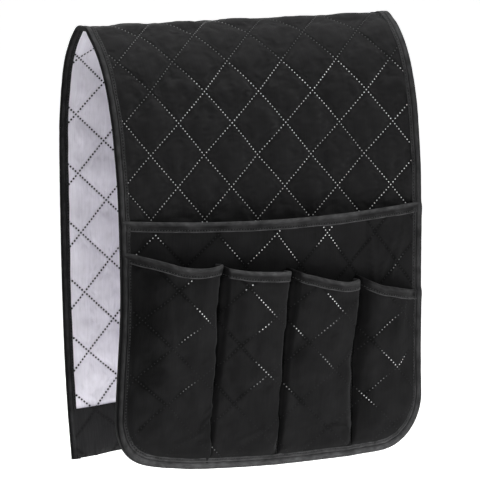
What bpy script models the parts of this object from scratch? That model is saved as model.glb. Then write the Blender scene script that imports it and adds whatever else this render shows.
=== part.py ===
"""A quilted fabric organizer that hangs over a sofa armrest.

One long padded strip goes over the armrest like a saddle. Its front flap carries one large
pocket with a row of four small pockets sewn on it. Its rear flap ends in a quilted facing
that is tucked down beside the seat cushion. The strip is one continuous piece of cloth, which
is parted here at the three lines where it folds, so that its flaps can swing.

Metres, +Z up, +X along the armrest, -Y to the front. The origin is on the underside of the
lining at the top of the arch, where the organizer rests on the armrest.
"""

import math

import bmesh
import bpy
from mathutils import Vector
from mathutils.geometry import interpolate_bezier

# The strip, measured on its black outer face
STRIP_WIDTH = 0.320
FRONT_DROP = 0.400
REAR_DROP = 0.396
CORNER_RADIUS = 0.060

# The arch over the armrest, down to the two lines where the flaps fold
ARCH_HEIGHT = 0.095
ARCH_FRONT_REACH = 0.058
ARCH_REAR_REACH = 0.041
CROWN_FLAT = 0.012
# Each pair is a share of the reach and a share of the arch's height
ARCH_FRONT_SHARES = ((0.29, 0.084), (0.49, 0.21), (0.67, 0.37), (0.825, 0.58), (0.95, 0.84))
ARCH_REAR_SHARES = ((0.40, 0.084), (0.61, 0.21), (0.78, 0.37), (0.89, 0.58), (0.975, 0.84))

# The hanging legs: the front one bellies out, and the rear one leans in under the arch
FRONT_BELLY = 0.010
REAR_LEAN = 0.022
# Each pair is a share of the leg's height and a share of its belly or lean
FRONT_LEG_SHARES = ((0.18, 0.66), (0.46, 1.0), (0.74, 0.76), (1.0, 0.50))
REAR_LEG_SHARES = ((0.18, 0.02), (0.42, 0.13), (0.65, 0.35), (0.85, 0.67), (1.0, 1.0))

# Cloth thicknesses, and the gap that lies between layers that touch
FACE_THICK = 0.0006
WADDING_THICK = 0.0018
LINING_THICK = 0.0006
PANEL_THICK = 0.0010
POCKET_THICK = 0.0008
TAPE_THICK = 0.0005
LAYER_GAP = 0.0003
# How far the edge tape's stitches draw the face and the inner cloth towards the wadding
EDGE_PINCH = 0.00015

# Binding tape: how far it laps over the cloth
EDGE_TAPE_WIDTH = 0.0095
POCKET_TAPE_WIDTH = 0.0085

# Folds between the bodies
FOLD_GAP = 0.0009
HEM_HEIGHT = 0.045

# The large pocket, measured up from the bottom edge of the front flap
LARGE_POCKET_HEIGHT = 0.229
LARGE_MOUTH_SAG = 0.006
LARGE_GAPE = 0.015

# The small pockets, from left to right. Their mouths step down from the large pocket's mouth
SMALL_DROP_LEFT = 0.031
SMALL_DROP_RIGHT = 0.079
DIVIDER_SHARES = (0.295, 0.520, 0.787)
SMALL_MOUTH_SAGS = (0.005, 0.0015, 0.002, 0.0005)
SMALL_GAPES = (0.0125, 0.0125, 0.0125, 0.0105)
SMALL_CROWNS = (0.002, 0.0015, 0.002, 0.0005)
PLEAT_MOUTH_WIDTHS = (0.0062, 0.0140, 0.0180)
PLEAT_FOOT_WIDTH = 0.0040
PLEAT_FOOT_DEPTH = 0.0020
SEAM_GAP = 0.0022
SEAM_THREAD_WIDTH = 0.0014
SEAM_THREAD_THICK = 0.0005
SEAM_ROOT_GAP = 0.0009

# How finely curves are faceted
CURVE_STEPS = 24
TURN_PER_ROW = math.radians(9)
LONGEST_ROW = 0.028
CLOSEST_ROWS = 0.0006
SHARP_ANGLE = math.radians(40)
CORNER_STEPS = 7
PANEL_CORNER_STEPS = 5
PANEL_MIDDLE_STEPS = 10
PANEL_ROWS = 8
POCKET_STEPS = 6
POCKET_ROWS = 7

# How quickly a pocket closes towards its foot, as powers
LARGE_CLOSING = 1.4
SMALL_CLOSING = 0.85
# The share of an outer pocket's width over which it rises from the flap's side tape
OUTER_RISE_SHARE = 0.42

STACK = FACE_THICK + WADDING_THICK + LINING_THICK + 2 * LAYER_GAP
# The strip's cloth stops short of its full width by the tape that wraps its edge
TAPE_ROOM = TAPE_THICK + LAYER_GAP
# A taped edge that lies on other cloth keeps its lower lap and two gaps under it
TAPED_REST = TAPE_ROOM + LAYER_GAP
HALF_WIDTH = STRIP_WIDTH / 2
# How far the edge tape and its gap reach over the cloth that it binds
TAPE_REACH = EDGE_TAPE_WIDTH + LAYER_GAP
PANEL_INSET = TAPE_ROOM + TAPE_REACH
PANEL_HALF = HALF_WIDTH - PANEL_INSET

BLACK_CLOTH = ("black_polyester", (0.012, 0.012, 0.013), 0.62)
BLACK_TAPE = ("black_binding_tape", (0.020, 0.020, 0.022), 0.50)
GREY_CLOTH = ("grey_lining", (0.52, 0.50, 0.55), 0.75)
WHITE_WADDING = ("white_wadding", (0.80, 0.80, 0.78), 0.95)
BLACK_THREAD = ("black_thread", (0.010, 0.010, 0.010), 0.60)


class Profile:
    """The strip's side view as one curve: 0 at the top of the arch, plus to the front."""

    def __init__(self, knots, top_knot):
        self.points = []
        ways = [
            (knots[min(k + 1, len(knots) - 1)] - knots[max(k - 1, 0)]).normalized()
            for k in range(len(knots))
        ]
        # The flat at the top is straight from end to end
        flat_way = (knots[top_knot + 1] - knots[top_knot]).normalized()
        ways[top_knot] = ways[top_knot + 1] = flat_way
        self.knot_at = []
        for k in range(len(knots) - 1):
            reach = (knots[k + 1] - knots[k]).length / 3
            self.knot_at.append(len(self.points))
            self.points += interpolate_bezier(
                knots[k],
                knots[k] + ways[k] * reach,
                knots[k + 1] - ways[k + 1] * reach,
                knots[k + 1],
                CURVE_STEPS + 1,
            )[:-1]
        self.knot_at.append(len(self.points))
        self.points.append(knots[-1])
        along = [0.0]
        for a, b in zip(self.points, self.points[1:]):
            along.append(along[-1] + (b - a).length)
        top = (along[self.knot_at[top_knot]] + along[self.knot_at[top_knot + 1]]) / 2
        self.along = [s - top for s in along]
        last = len(self.points) - 1
        self.ways = [
            (self.points[min(k + 1, last)] - self.points[max(k - 1, 0)]).normalized()
            for k in range(last + 1)
        ]
        for k in range(self.knot_at[top_knot], self.knot_at[top_knot + 1] + 1):
            self.ways[k] = flat_way

    def knot(self, number):
        return self.along[self.knot_at[number]]

    def at(self, s):
        """The point and the direction of the curve at s."""
        k = 0
        while k < len(self.along) - 2 and self.along[k + 1] < s:
            k += 1
        part = (s - self.along[k]) / (self.along[k + 1] - self.along[k])
        point = self.points[k].lerp(self.points[k + 1], part)
        way = self.ways[k].lerp(self.ways[k + 1], part).normalized()
        return point, way

    def place(self, x, s, height=0.0):
        """A point at x, at s along the strip, and at a height over its outer face."""
        point, way = self.at(s)
        return Vector((x, point.y + way.z * height, point.z - way.y * height))

    def stations(self, start, end):
        """Places between start and end, closer where the curve turns, and none on the flat."""
        found = [start]
        _, way = self.at(start)
        flat = CROWN_FLAT / 2
        for s, now in zip(self.along, self.ways):
            if s <= start or s >= end or -flat < s < flat:
                continue
            if way.angle(now) > TURN_PER_ROW or s - found[-1] > LONGEST_ROW:
                found.append(s)
                way = now
        for s in (-flat, flat):
            if start < s < end:
                found.append(s)
        found.sort()
        kept = [s for k, s in enumerate(found) if k == 0 or s - found[k - 1] > CLOSEST_ROWS]
        if end - kept[-1] < CLOSEST_ROWS:
            kept.pop()
        return kept + [end]


def make_profile():
    """The knots go up the rear leg, over the crown and down the front leg."""
    rear_leg = REAR_DROP - ARCH_HEIGHT
    front_leg = FRONT_DROP - ARCH_HEIGHT

    def knot(y, drop):
        return Vector((0.0, y, STACK - drop))

    rear = [
        knot(ARCH_REAR_REACH - lean * REAR_LEAN, ARCH_HEIGHT + down * rear_leg)
        for down, lean in reversed(REAR_LEG_SHARES)
    ]
    rear.append(knot(ARCH_REAR_REACH, ARCH_HEIGHT))
    rear += [
        knot(out * ARCH_REAR_REACH, down * ARCH_HEIGHT) for out, down in reversed(ARCH_REAR_SHARES)
    ]
    top = [knot(CROWN_FLAT / 2, 0.0), knot(-CROWN_FLAT / 2, 0.0)]
    front = [
        knot(-out * ARCH_FRONT_REACH, down * ARCH_HEIGHT) for out, down in ARCH_FRONT_SHARES
    ]
    front.append(knot(-ARCH_FRONT_REACH, ARCH_HEIGHT))
    front += [
        knot(-ARCH_FRONT_REACH - out * FRONT_BELLY, ARCH_HEIGHT + down * front_leg)
        for down, out in FRONT_LEG_SHARES
    ]
    profile = Profile(rear + top + front, len(rear))
    rear_fold = profile.knot(len(REAR_LEG_SHARES))
    front_fold = profile.knot(len(rear + top) + len(ARCH_FRONT_SHARES))
    return profile, rear_fold, front_fold


PROFILE, REAR_FOLD, FRONT_FOLD = make_profile()
REAR_END = PROFILE.along[0]
FRONT_END = PROFILE.along[-1]
HEM_FOLD = REAR_END + HEM_HEIGHT
place = PROFILE.place


def clear_scene():
    for old in list(bpy.data.objects):
        bpy.data.objects.remove(old, do_unlink=True)


def cloth_material(name, colour, roughness):
    material = bpy.data.materials.new(name)
    material.use_nodes = True
    shader = material.node_tree.nodes["Principled BSDF"]
    shader.inputs["Base Color"].default_value = (*colour, 1.0)
    shader.inputs["Roughness"].default_value = roughness
    shader.inputs["Metallic"].default_value = 0.0
    material.diffuse_color = (*colour, 1.0)
    return material


def add_pivot(name, place_of, parent=None):
    """An empty on a fold line, which carries the pieces that swing about it."""
    pivot = bpy.data.objects.new(name, None)
    pivot.parent = parent
    pivot.location = place_of - world_place(parent)
    bpy.context.collection.objects.link(pivot)
    return pivot


def world_place(pivot):
    place_of = Vector((0.0, 0.0, 0.0))
    while pivot is not None:
        place_of = place_of + pivot.location
        pivot = pivot.parent
    return place_of


def add_piece(name, bm, pivot, finish):
    """One named piece, with its mesh moved into the space of the pivot that carries it."""
    bmesh.ops.translate(bm, verts=bm.verts, vec=-world_place(pivot))
    mesh = bpy.data.meshes.new(name)
    bm.to_mesh(mesh)
    bm.free()
    mesh.materials.append(cloth_material(f"{name}_{finish[0]}", *finish[1:]))
    mesh.shade_smooth()
    mesh.set_sharp_from_angle(angle=SHARP_ANGLE)
    piece = bpy.data.objects.new(name, mesh)
    piece.parent = pivot
    bpy.context.collection.objects.link(piece)
    return piece


def add_sheet(name, rows, thickness, pivot, finish):
    """Cloth from rows of points on its outer face, thickened inwards."""
    bm = bmesh.new()
    grid = [[bm.verts.new(point) for point in row] for row in rows]
    for upper, lower in zip(grid, grid[1:]):
        for k in range(len(upper) - 1):
            bm.faces.new((upper[k], lower[k], lower[k + 1], upper[k + 1]))
    piece = add_piece(name, bm, pivot, finish)
    solid = piece.modifiers.new("thickness", "SOLIDIFY")
    solid.thickness = thickness
    solid.offset = -1.0
    solid.use_even_offset = True
    solid.use_quality_normals = True
    return piece


def add_sweep(name, sections, caps, pivot, finish):
    """A closed body through a row of sections, with its end faces as lists of corners."""
    bm = bmesh.new()
    rings = [[bm.verts.new(point) for point in section] for section in sections]
    for first, second in zip(rings, rings[1:]):
        for k in range(len(first)):
            n = (k + 1) % len(first)
            bm.faces.new((first[k], first[n], second[n], second[k]))
    for ring in (rings[0], rings[-1]):
        for cap in caps:
            bm.faces.new([ring[k] for k in cap])
    bmesh.ops.recalc_face_normals(bm, faces=bm.faces)
    return add_piece(name, bm, pivot, finish)


# A tape's section is a channel with eight corners, and its end is three four-sided faces
CHANNEL_CAPS = ((0, 1, 2, 7), (7, 2, 3, 6), (6, 3, 4, 5))
BAR_CAPS = ((0, 1, 2, 3),)


def channel(point, lap, thickness):
    """The section of a folded tape. point(inward, height) is a place on the taped cloth."""
    outside = TAPE_ROOM
    return [
        point(lap, LAYER_GAP),
        point(lap, outside),
        point(-outside, outside),
        point(-outside, -thickness - outside),
        point(lap, -thickness - outside),
        point(lap, -thickness - LAYER_GAP),
        point(-LAYER_GAP, -thickness - LAYER_GAP),
        point(-LAYER_GAP, LAYER_GAP),
    ]


def corner_drop(x, inset):
    """How far above the flap's bottom the rounded outline lies at x, at an inset."""
    radius = CORNER_RADIUS - inset
    past = min(max(abs(x) - (HALF_WIDTH - CORNER_RADIUS), 0.0), radius)
    return CORNER_RADIUS - math.sqrt(radius**2 - past**2)


def strip_rows(start, end, depth, pinch, rounded):
    """Rows of one layer, at a depth that changes by pinch at its taped edges."""
    half = HALF_WIDTH - TAPE_ROOM
    straight_end = end - CORNER_RADIUS if rounded else end
    rows = [(s, half) for s in PROFILE.stations(start, straight_end)]
    if rounded:
        radius = CORNER_RADIUS - TAPE_ROOM
        for k in range(1, CORNER_STEPS + 1):
            turn = math.pi / 2 * k / CORNER_STEPS
            rows.append(
                (
                    straight_end + radius * math.sin(turn),
                    HALF_WIDTH - CORNER_RADIUS + radius * math.cos(turn),
                )
            )
    return [
        [
            place(-half_row, s, -depth - pinch),
            place(TAPE_REACH - half_row, s, -depth),
            place(half_row - TAPE_REACH, s, -depth),
            place(half_row, s, -depth - pinch),
        ]
        for s, half_row in rows
    ]


def add_layers(body, start, end, pivot, inner, rounded=False):
    """The sewn sandwich of one body: the black face, the wadding and the inner cloth.

    A rounded body has two round corners at its end.
    """
    inner_name, inner_finish = inner
    depth = 0.0
    for name, thickness, pinch, finish in (
        ("face_fabric", FACE_THICK, EDGE_PINCH, BLACK_CLOTH),
        ("wadding", WADDING_THICK, 0.0, WHITE_WADDING),
        (inner_name, LINING_THICK, -EDGE_PINCH, inner_finish),
    ):
        rows = strip_rows(start, end, depth, pinch, rounded)
        add_sheet(f"{body}_{name}", rows, thickness, pivot, finish)
        depth += thickness + LAYER_GAP


def side_section(side, s):
    """The edge tape's section on a straight side, where side is -1 or 1."""
    edge = side * (HALF_WIDTH - TAPE_ROOM)
    return channel(
        lambda inward, height: place(edge - side * inward, s, height), EDGE_TAPE_WIDTH, STACK
    )


def add_side_tapes(body, start, end, pivot):
    for side, word in ((-1, "left"), (1, "right")):
        sections = [side_section(side, s) for s in PROFILE.stations(start, end)]
        add_sweep(f"{body}_binding_{word}", sections, CHANNEL_CAPS, pivot, BLACK_TAPE)


def corner_section(side, turn):
    """The edge tape's section on a rounded corner, turned from the side to the bottom."""
    radius = CORNER_RADIUS - TAPE_ROOM
    x_middle = side * (HALF_WIDTH - CORNER_RADIUS)
    s_middle = FRONT_END - CORNER_RADIUS

    def point(inward, height):
        out = radius - inward
        return place(
            x_middle + side * out * math.cos(turn), s_middle + out * math.sin(turn), height
        )

    return channel(point, EDGE_TAPE_WIDTH, STACK)


def add_front_tape(start, pivot):
    """One tape down the left side, round both corners and up the right side."""
    sections = []
    for side in (-1, 1):
        half = [
            side_section(side, s) for s in PROFILE.stations(start, FRONT_END - CORNER_RADIUS)
        ]
        half += [
            corner_section(side, math.pi / 2 * k / CORNER_STEPS)
            for k in range(1, CORNER_STEPS + 1)
        ]
        sections += half if side < 0 else half[::-1]
    add_sweep("front_binding", sections, CHANNEL_CAPS, pivot, BLACK_TAPE)


def panel_foot(x):
    """Where a pocket panel ends, just inside the tape along the bottom."""
    return FRONT_END - corner_drop(x, PANEL_INSET)


def large_mouth(x):
    share = x / PANEL_HALF
    return FRONT_END - LARGE_POCKET_HEIGHT + LARGE_MOUTH_SAG * (1 - share**2)


def large_height(x, s):
    """How far the large pocket's outer face stands over the flap's face."""
    down = (s - large_mouth(x)) / (panel_foot(x) - large_mouth(x))
    down = min(max(down, 0.0), 1.0)
    open_share = 1 - down**LARGE_CLOSING
    across = 1 - (x / PANEL_HALF) ** 2
    return TAPED_REST + PANEL_THICK + LARGE_GAPE * across * open_share**2


def corner_columns(side):
    """x places that follow a rounded corner evenly, from the side inwards."""
    radius = CORNER_RADIUS - PANEL_INSET
    return [
        side * (PANEL_HALF - radius * (1 - math.cos(math.pi / 2 * k / PANEL_CORNER_STEPS)))
        for k in range(PANEL_CORNER_STEPS + 1)
    ]


def between(start, end, steps):
    """Places from start to end, without the ends."""
    return [start + (end - start) * k / steps for k in range(1, steps)]


def large_rows():
    left, right = corner_columns(-1), corner_columns(1)[::-1]
    columns = left + between(left[-1], right[0], PANEL_MIDDLE_STEPS) + right
    rows = []
    for k in range(PANEL_ROWS + 1):
        row = []
        for x in columns:
            s = large_mouth(x) + (panel_foot(x) - large_mouth(x)) * k / PANEL_ROWS
            row.append(place(x, s, large_height(x, s)))
        rows.append(row)
    return rows


def divider(number):
    """x of a seam between small pockets: 0 and 4 are the flap's sides."""
    if number == 0:
        return -PANEL_HALF
    if number == len(DIVIDER_SHARES) + 1:
        return PANEL_HALF
    return -PANEL_HALF + 2 * PANEL_HALF * DIVIDER_SHARES[number - 1]


def small_top(x):
    """Where the small pockets' mouths lie at x, without their sag."""
    share = (x + PANEL_HALF) / (2 * PANEL_HALF)
    drop = SMALL_DROP_LEFT + (SMALL_DROP_RIGHT - SMALL_DROP_LEFT) * share
    return FRONT_END - LARGE_POCKET_HEIGHT + drop


def pleat_half(number, down):
    """Half the gap between two neighbours' folded edges at a divider."""
    mouth, foot = PLEAT_MOUTH_WIDTHS[number - 1] / 2, PLEAT_FOOT_WIDTH / 2
    return foot + (mouth - foot) * (1 - down) ** SMALL_CLOSING


def small_rows(pocket):
    """A small pocket's outer face: from seam to fold, across the front, and back to a seam."""
    left, right = divider(pocket), divider(pocket + 1)
    left_pleat, right_pleat = pocket > 0, pocket < len(DIVIDER_SHARES)
    last = len(DIVIDER_SHARES)

    def front_x(share, down):
        start = left + (pleat_half(pocket, down) if left_pleat else 0.0)
        end = right - (pleat_half(pocket + 1, down) if right_pleat else 0.0)
        return start + (end - start) * share

    shares = [k / POCKET_STEPS for k in range(POCKET_STEPS + 1)]
    corner_width = CORNER_RADIUS - PANEL_INSET
    corner_share = corner_width / (right - left)
    if pocket == 0:
        curve = [(x + PANEL_HALF) / (right - left) for x in corner_columns(-1)]
        shares = curve + [corner_share + (1 - corner_share) * s for s in shares[1:]]
    if pocket == last:
        curve = [1 - (PANEL_HALF - x) / (right - left) for x in corner_columns(1)[::-1]]
        shares = [(1 - corner_share) * s for s in shares[:-1]] + curve

    def rise(share):
        """0 at a side that is sewn flat, and 1 where the pocket stands off."""
        reach = 1.0
        if not left_pleat:
            reach = min(share / OUTER_RISE_SHARE, 1.0)
        if not right_pleat:
            reach = min((1 - share) / OUTER_RISE_SHARE, 1.0)
        return math.sin(math.pi / 2 * reach)

    def mouth(x, share):
        sag = SMALL_MOUTH_SAGS[pocket] * 4 * share * (1 - share)
        return small_top(x) + sag

    def front_point(share, down):
        x = front_x(share, down)
        top = mouth(front_x(share, 0.0), share)
        s = top + (panel_foot(x) - top) * down
        opened = (1 - down) ** SMALL_CLOSING
        crown = SMALL_CROWNS[pocket] * 4 * share * (1 - share)
        stand = (SMALL_GAPES[pocket] + crown) * rise(share) * opened
        foot = PLEAT_FOOT_DEPTH * rise(share) * (2 * share - 1) ** 2
        rest = large_height(x, s) + TAPED_REST + POCKET_THICK
        return place(x, s, rest + stand + foot)

    def seam_point(number, side, share, down):
        x = divider(number) + side * SEAM_GAP / 2
        top = mouth(front_x(share, 0.0), share)
        s = top + (panel_foot(x) - top) * down
        return place(x, s, large_height(x, s) + SEAM_ROOT_GAP)

    rows = []
    for k in range(POCKET_ROWS + 1):
        down = k / POCKET_ROWS
        row = [front_point(share, down) for share in shares]
        if left_pleat:
            row.insert(0, seam_point(pocket, 1, 0.0, down))
        if right_pleat:
            row.append(seam_point(pocket + 1, -1, 1.0, down))
        rows.append(row)
    return rows


def mouth_tape_sections(rows, thickness):
    """Sections of the tape along the upper edge of a sheet that rows describe."""
    upper, lower = rows[0], rows[1]
    downs = [(b - a).normalized() for a, b in zip(upper, lower)]
    outs = []
    for k in range(len(upper) - 1):
        along = upper[k + 1] - upper[k]
        outs.append((downs[k] + downs[k + 1]).cross(along).normalized())
    sections = []
    for k, (start, down) in enumerate(zip(upper, downs)):
        before, after = outs[max(k - 1, 0)], outs[min(k, len(outs) - 1)]
        out = (before + after).normalized()
        out /= out.dot(after)
        sections.append(
            channel(
                lambda inward, height, start=start, down=down, out=out: start
                + down * inward
                + out * height,
                POCKET_TAPE_WIDTH,
                thickness,
            )
        )
    return sections


def add_divider_thread(number, pivot):
    """The sewn line that holds two small pockets to the large one, at the foot of a pleat."""
    x = divider(number)
    start = small_top(x) + POCKET_TAPE_WIDTH + TAPE_ROOM
    end = panel_foot(x) - TAPE_ROOM
    half = SEAM_THREAD_WIDTH / 2
    sections = []
    for k in range(PANEL_ROWS + 1):
        s = start + (end - start) * k / PANEL_ROWS
        rest = large_height(x, s) + LAYER_GAP
        sections.append(
            [
                place(x - half, s, rest),
                place(x + half, s, rest),
                place(x + half, s, rest + SEAM_THREAD_THICK),
                place(x - half, s, rest + SEAM_THREAD_THICK),
            ]
        )
    add_sweep(f"pocket_divider_seam_{number}", sections, BAR_CAPS, pivot, BLACK_THREAD)


def add_pockets(pivot):
    rows = large_rows()
    add_sheet("large_pocket_panel", rows, PANEL_THICK, pivot, BLACK_CLOTH)
    sections = mouth_tape_sections(rows, PANEL_THICK)
    add_sweep("large_pocket_binding", sections, CHANNEL_CAPS, pivot, BLACK_TAPE)
    for pocket in range(len(DIVIDER_SHARES) + 1):
        rows = small_rows(pocket)
        add_sheet(f"small_pocket_{pocket + 1}", rows, POCKET_THICK, pivot, BLACK_CLOTH)
        sections = mouth_tape_sections(rows, POCKET_THICK)
        name = f"small_pocket_binding_{pocket + 1}"
        add_sweep(name, sections, CHANNEL_CAPS, pivot, BLACK_TAPE)
    for number in range(1, len(DIVIDER_SHARES) + 1):
        add_divider_thread(number, pivot)


def build():
    clear_scene()
    # A fold's axis lies on the outside of the tape, so nothing bites when a flap is lifted
    crown = add_pivot("crown_seat", Vector((0.0, 0.0, 0.0)))
    front = add_pivot("front_fold_axis", place(0.0, FRONT_FOLD, TAPE_ROOM), crown)
    rear = add_pivot("rear_fold_axis", place(0.0, REAR_FOLD, TAPE_ROOM), crown)
    hem = add_pivot("hem_fold_axis", place(0.0, HEM_FOLD, TAPE_ROOM), rear)
    half_gap = FOLD_GAP / 2
    lining = ("lining", GREY_CLOTH)

    start, end = REAR_FOLD + half_gap, FRONT_FOLD - half_gap
    add_layers("crown", start, end, crown, lining)
    add_side_tapes("crown", start, end, crown)

    start = FRONT_FOLD + half_gap
    add_layers("front", start, FRONT_END, front, lining, rounded=True)
    add_front_tape(start, front)
    add_pockets(front)

    start, end = HEM_FOLD + half_gap, REAR_FOLD - half_gap
    add_layers("rear", start, end, rear, lining)
    add_side_tapes("rear", start, end, rear)

    end = HEM_FOLD - half_gap
    add_layers("hem", REAR_END, end, hem, ("facing", BLACK_CLOTH))
    add_side_tapes("hem", REAR_END, end, hem)


build()
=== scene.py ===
"""Looks of a sofa armrest organizer: quilted cloth over an armrest, with sewn pockets in front.

Lengths are metres. A place on the cloth is x across the strip and s along it: s is 0 at the top of the
arch, plus down the front and minus down the back. A height is measured outwards from the CAD face cloth.
"""

import math

import bpy
import numpy as np
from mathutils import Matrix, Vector
from mathutils.bvhtree import BVHTree
from mathutils.geometry import barycentric_transform, interpolate_bezier


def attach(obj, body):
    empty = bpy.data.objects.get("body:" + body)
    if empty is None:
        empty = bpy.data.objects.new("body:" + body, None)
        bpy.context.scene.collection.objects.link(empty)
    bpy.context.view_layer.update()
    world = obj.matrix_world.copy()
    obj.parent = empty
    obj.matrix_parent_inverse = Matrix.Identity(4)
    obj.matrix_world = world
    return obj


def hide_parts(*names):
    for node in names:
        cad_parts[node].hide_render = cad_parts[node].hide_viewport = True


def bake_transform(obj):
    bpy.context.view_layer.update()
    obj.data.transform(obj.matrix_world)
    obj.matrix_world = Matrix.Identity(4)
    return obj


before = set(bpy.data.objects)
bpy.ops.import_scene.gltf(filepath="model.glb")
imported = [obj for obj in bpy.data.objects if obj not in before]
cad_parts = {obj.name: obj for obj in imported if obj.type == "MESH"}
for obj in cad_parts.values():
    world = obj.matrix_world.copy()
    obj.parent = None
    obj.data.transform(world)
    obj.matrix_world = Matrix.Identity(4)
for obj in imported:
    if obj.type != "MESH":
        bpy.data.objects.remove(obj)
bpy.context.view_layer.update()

# The strip's driving sizes: the CAD model's, but for slightly tighter corners
STRIP_WIDTH = 0.320
FRONT_DROP = 0.400
REAR_DROP = 0.396
CORNER_RADIUS = 0.056
ARCH_HEIGHT = 0.095
ARCH_FRONT_REACH = 0.058
ARCH_REAR_REACH = 0.041
CROWN_FLAT = 0.012
ARCH_FRONT_SHARES = ((0.29, 0.084), (0.49, 0.21), (0.67, 0.37), (0.825, 0.58), (0.95, 0.84))
ARCH_REAR_SHARES = ((0.40, 0.084), (0.61, 0.21), (0.78, 0.37), (0.89, 0.58), (0.975, 0.84))
FRONT_BELLY = 0.010
REAR_LEAN = 0.022
FRONT_LEG_SHARES = ((0.18, 0.66), (0.46, 1.0), (0.74, 0.76), (1.0, 0.50))
REAR_LEG_SHARES = ((0.18, 0.02), (0.42, 0.13), (0.65, 0.35), (0.85, 0.67), (1.0, 1.0))
STACK = 0.0036
HEM_HEIGHT = 0.045
CURVE_STEPS = 24

# The pockets' driving sizes: the CAD model's, but for the places of the first and third seams
PANEL_THICK = 0.0010
POCKET_THICK = 0.0008
TAPED_REST = 0.0011
PANEL_INSET = 0.0106
LARGE_POCKET_HEIGHT = 0.229
LARGE_MOUTH_SAG = 0.006
LARGE_GAPE = 0.015
LARGE_CLOSING = 1.4
SMALL_DROP_LEFT = 0.031
SMALL_DROP_RIGHT = 0.079
SMALL_CLOSING = 0.85
DIVIDER_SHARES = (0.280, 0.520, 0.778)
SMALL_MOUTH_SAGS = (0.005, 0.0015, 0.002, 0.0005)
SMALL_GAPES = (0.0125, 0.0125, 0.0125, 0.0105)
SMALL_CROWNS = (0.0035, 0.0040, 0.0045, 0.0030)
PLEAT_MOUTH_WIDTHS = (0.0062, 0.0140, 0.0180)
PLEAT_FOOT_WIDTH = 0.0040
PLEAT_FOOT_DEPTH = 0.0020
SEAM_GAP = 0.0022
SEAM_ROOT_GAP = 0.0009
OUTER_RISE_SHARE = 0.42

HALF_WIDTH = STRIP_WIDTH / 2
PANEL_HALF = HALF_WIDTH - PANEL_INSET
CORNER_X = HALF_WIDTH - CORNER_RADIUS
POCKETS = len(DIVIDER_SHARES) + 1

# Cloth is cut this far inside the outline, where the edge tape hides its edge
CLOTH_INSET = 0.0018
# Where the front and rear cloth hand over to the hem's, behind the crown
REAR_SPLIT = -0.25
# Half the length of cloth that bends when a flap is lifted
FOLD_REACH = 0.032
HEM_REACH = 0.020

# Quilting: squares turned by 45 degrees, welded in rows of dots
SQUARE_WIDTH = 0.05626
ROW_HEIGHT = 0.05792
QUILT_TILT = math.radians(2.51)
DOTS_PER_SIDE = 12
SQUARE_CELLS = 16
CELL_SQUEEZE = 0.55
PUFF_HEIGHT = 0.0030
WELD_DEPTH = 0.0010
DOT_RADIUS = 0.00073
DOT_RISE = 0.00022
LINING_DOT_SCALE = 1.65

# Edge tape and pocket tape, and the layers pressed together under the edge tape
EDGE_LAP = 0.0095
LINING_LAP = 0.0077
EDGE_STACK = 0.0023
POCKET_LAP = 0.0085
TAPE_STEP = 0.0018
STITCH_PITCH = 0.0028
STITCH_LENGTH = 0.0018
STITCH_RADIUS = 0.00045

# The camera's place, as the photograph was taken
CAMERA_AZIMUTH = math.radians(-29.9)
CAMERA_ELEVATION = math.radians(6.8)
CAMERA_DISTANCE = 9.1
CAMERA_AIM = Vector((0.0, -0.0113, -0.1984))
VIEW_WIDTH = 0.43852
SENSOR_WIDTH = 36.0
NOISE_SIDE = 64


def smooth(share):
    """0 below 0, 1 above 1 and an even rise between them."""
    share = np.clip(share, 0.0, 1.0)
    return share * share * (3 - 2 * share)


def rise(value, start, reach):
    """An even rise from 0 to 1 that begins at start and is over a reach later."""
    return smooth((value - start) / reach)


def hill(value, centre, width):
    """1 at the centre, falling away evenly on both sides."""
    return np.exp(-(((value - centre) / width) ** 2))


def stepped(value, level, changes):
    """A level that changes in even steps: where each begins, its reach and how much it adds."""
    for start, reach, amount in changes:
        level = level + amount * rise(value, start, reach)
    return level


def bent_line(t, starts, values):
    """The line through the given places, carried on straight past both ends."""
    first = (values[1] - values[0]) / (starts[1] - starts[0])
    last = (values[-1] - values[-2]) / (starts[-1] - starts[-2])
    before = np.minimum(t - starts[0], 0.0) * first
    after = np.maximum(t - starts[-1], 0.0) * last
    return np.interp(t, starts, values) + before + after


def smooth_line(t, starts, values):
    """A smooth curve through the given places, level past both ends."""
    starts, values = np.array(starts), np.array(values)
    slopes = np.gradient(values, starts)
    slopes[0] = slopes[-1] = 0.0
    t = np.clip(t, starts[0], starts[-1])
    k = np.clip(np.searchsorted(starts, t) - 1, 0, len(starts) - 2)
    gap = starts[k + 1] - starts[k]
    u = (t - starts[k]) / gap
    level = values[k] * (1 + 2 * u) * (1 - u) ** 2 + values[k + 1] * u * u * (3 - 2 * u)
    return level + gap * u * (1 - u) * (slopes[k] * (1 - u) - slopes[k + 1] * u)


def from_table(table, u, v, ease):
    """The value of a square table that repeats, at a place counted in its cells."""
    side = len(table)
    i, j = np.floor(u).astype(int), np.floor(v).astype(int)
    a, b = ease(u - i), ease(v - j)
    i, j, i_next, j_next = i % side, j % side, (i + 1) % side, (j + 1) % side
    upper = table[i, j] * (1 - a) + table[i_next, j] * a
    lower = table[i, j_next] * (1 - a) + table[i_next, j_next] * a
    return upper * (1 - b) + lower * b


def noise(u, v, size, seed):
    """Smooth bumps between -1 and 1, about size across."""
    table = np.random.default_rng(seed).uniform(-1.0, 1.0, (NOISE_SIDE, NOISE_SIDE))
    return from_table(table, np.asarray(u) / size, np.asarray(v) / size, smooth)


def crumples(kind, u, v, more=0):
    """Random bumps of one kind: their height, size, squeeze along v, shift and seed."""
    height, size, squeeze, shift, seed = kind
    return height * noise(u + shift, v * squeeze + shift, size, seed + more)


def unit(vectors):
    lengths = np.linalg.norm(vectors, axis=-1, keepdims=True)
    return vectors / np.maximum(lengths, 1e-12)


def lengths_along(points):
    """How far along a line each of its points lies."""
    steps = np.linalg.norm(np.diff(points, axis=0), axis=1)
    return np.concatenate(([0.0], np.cumsum(steps)))


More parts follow.
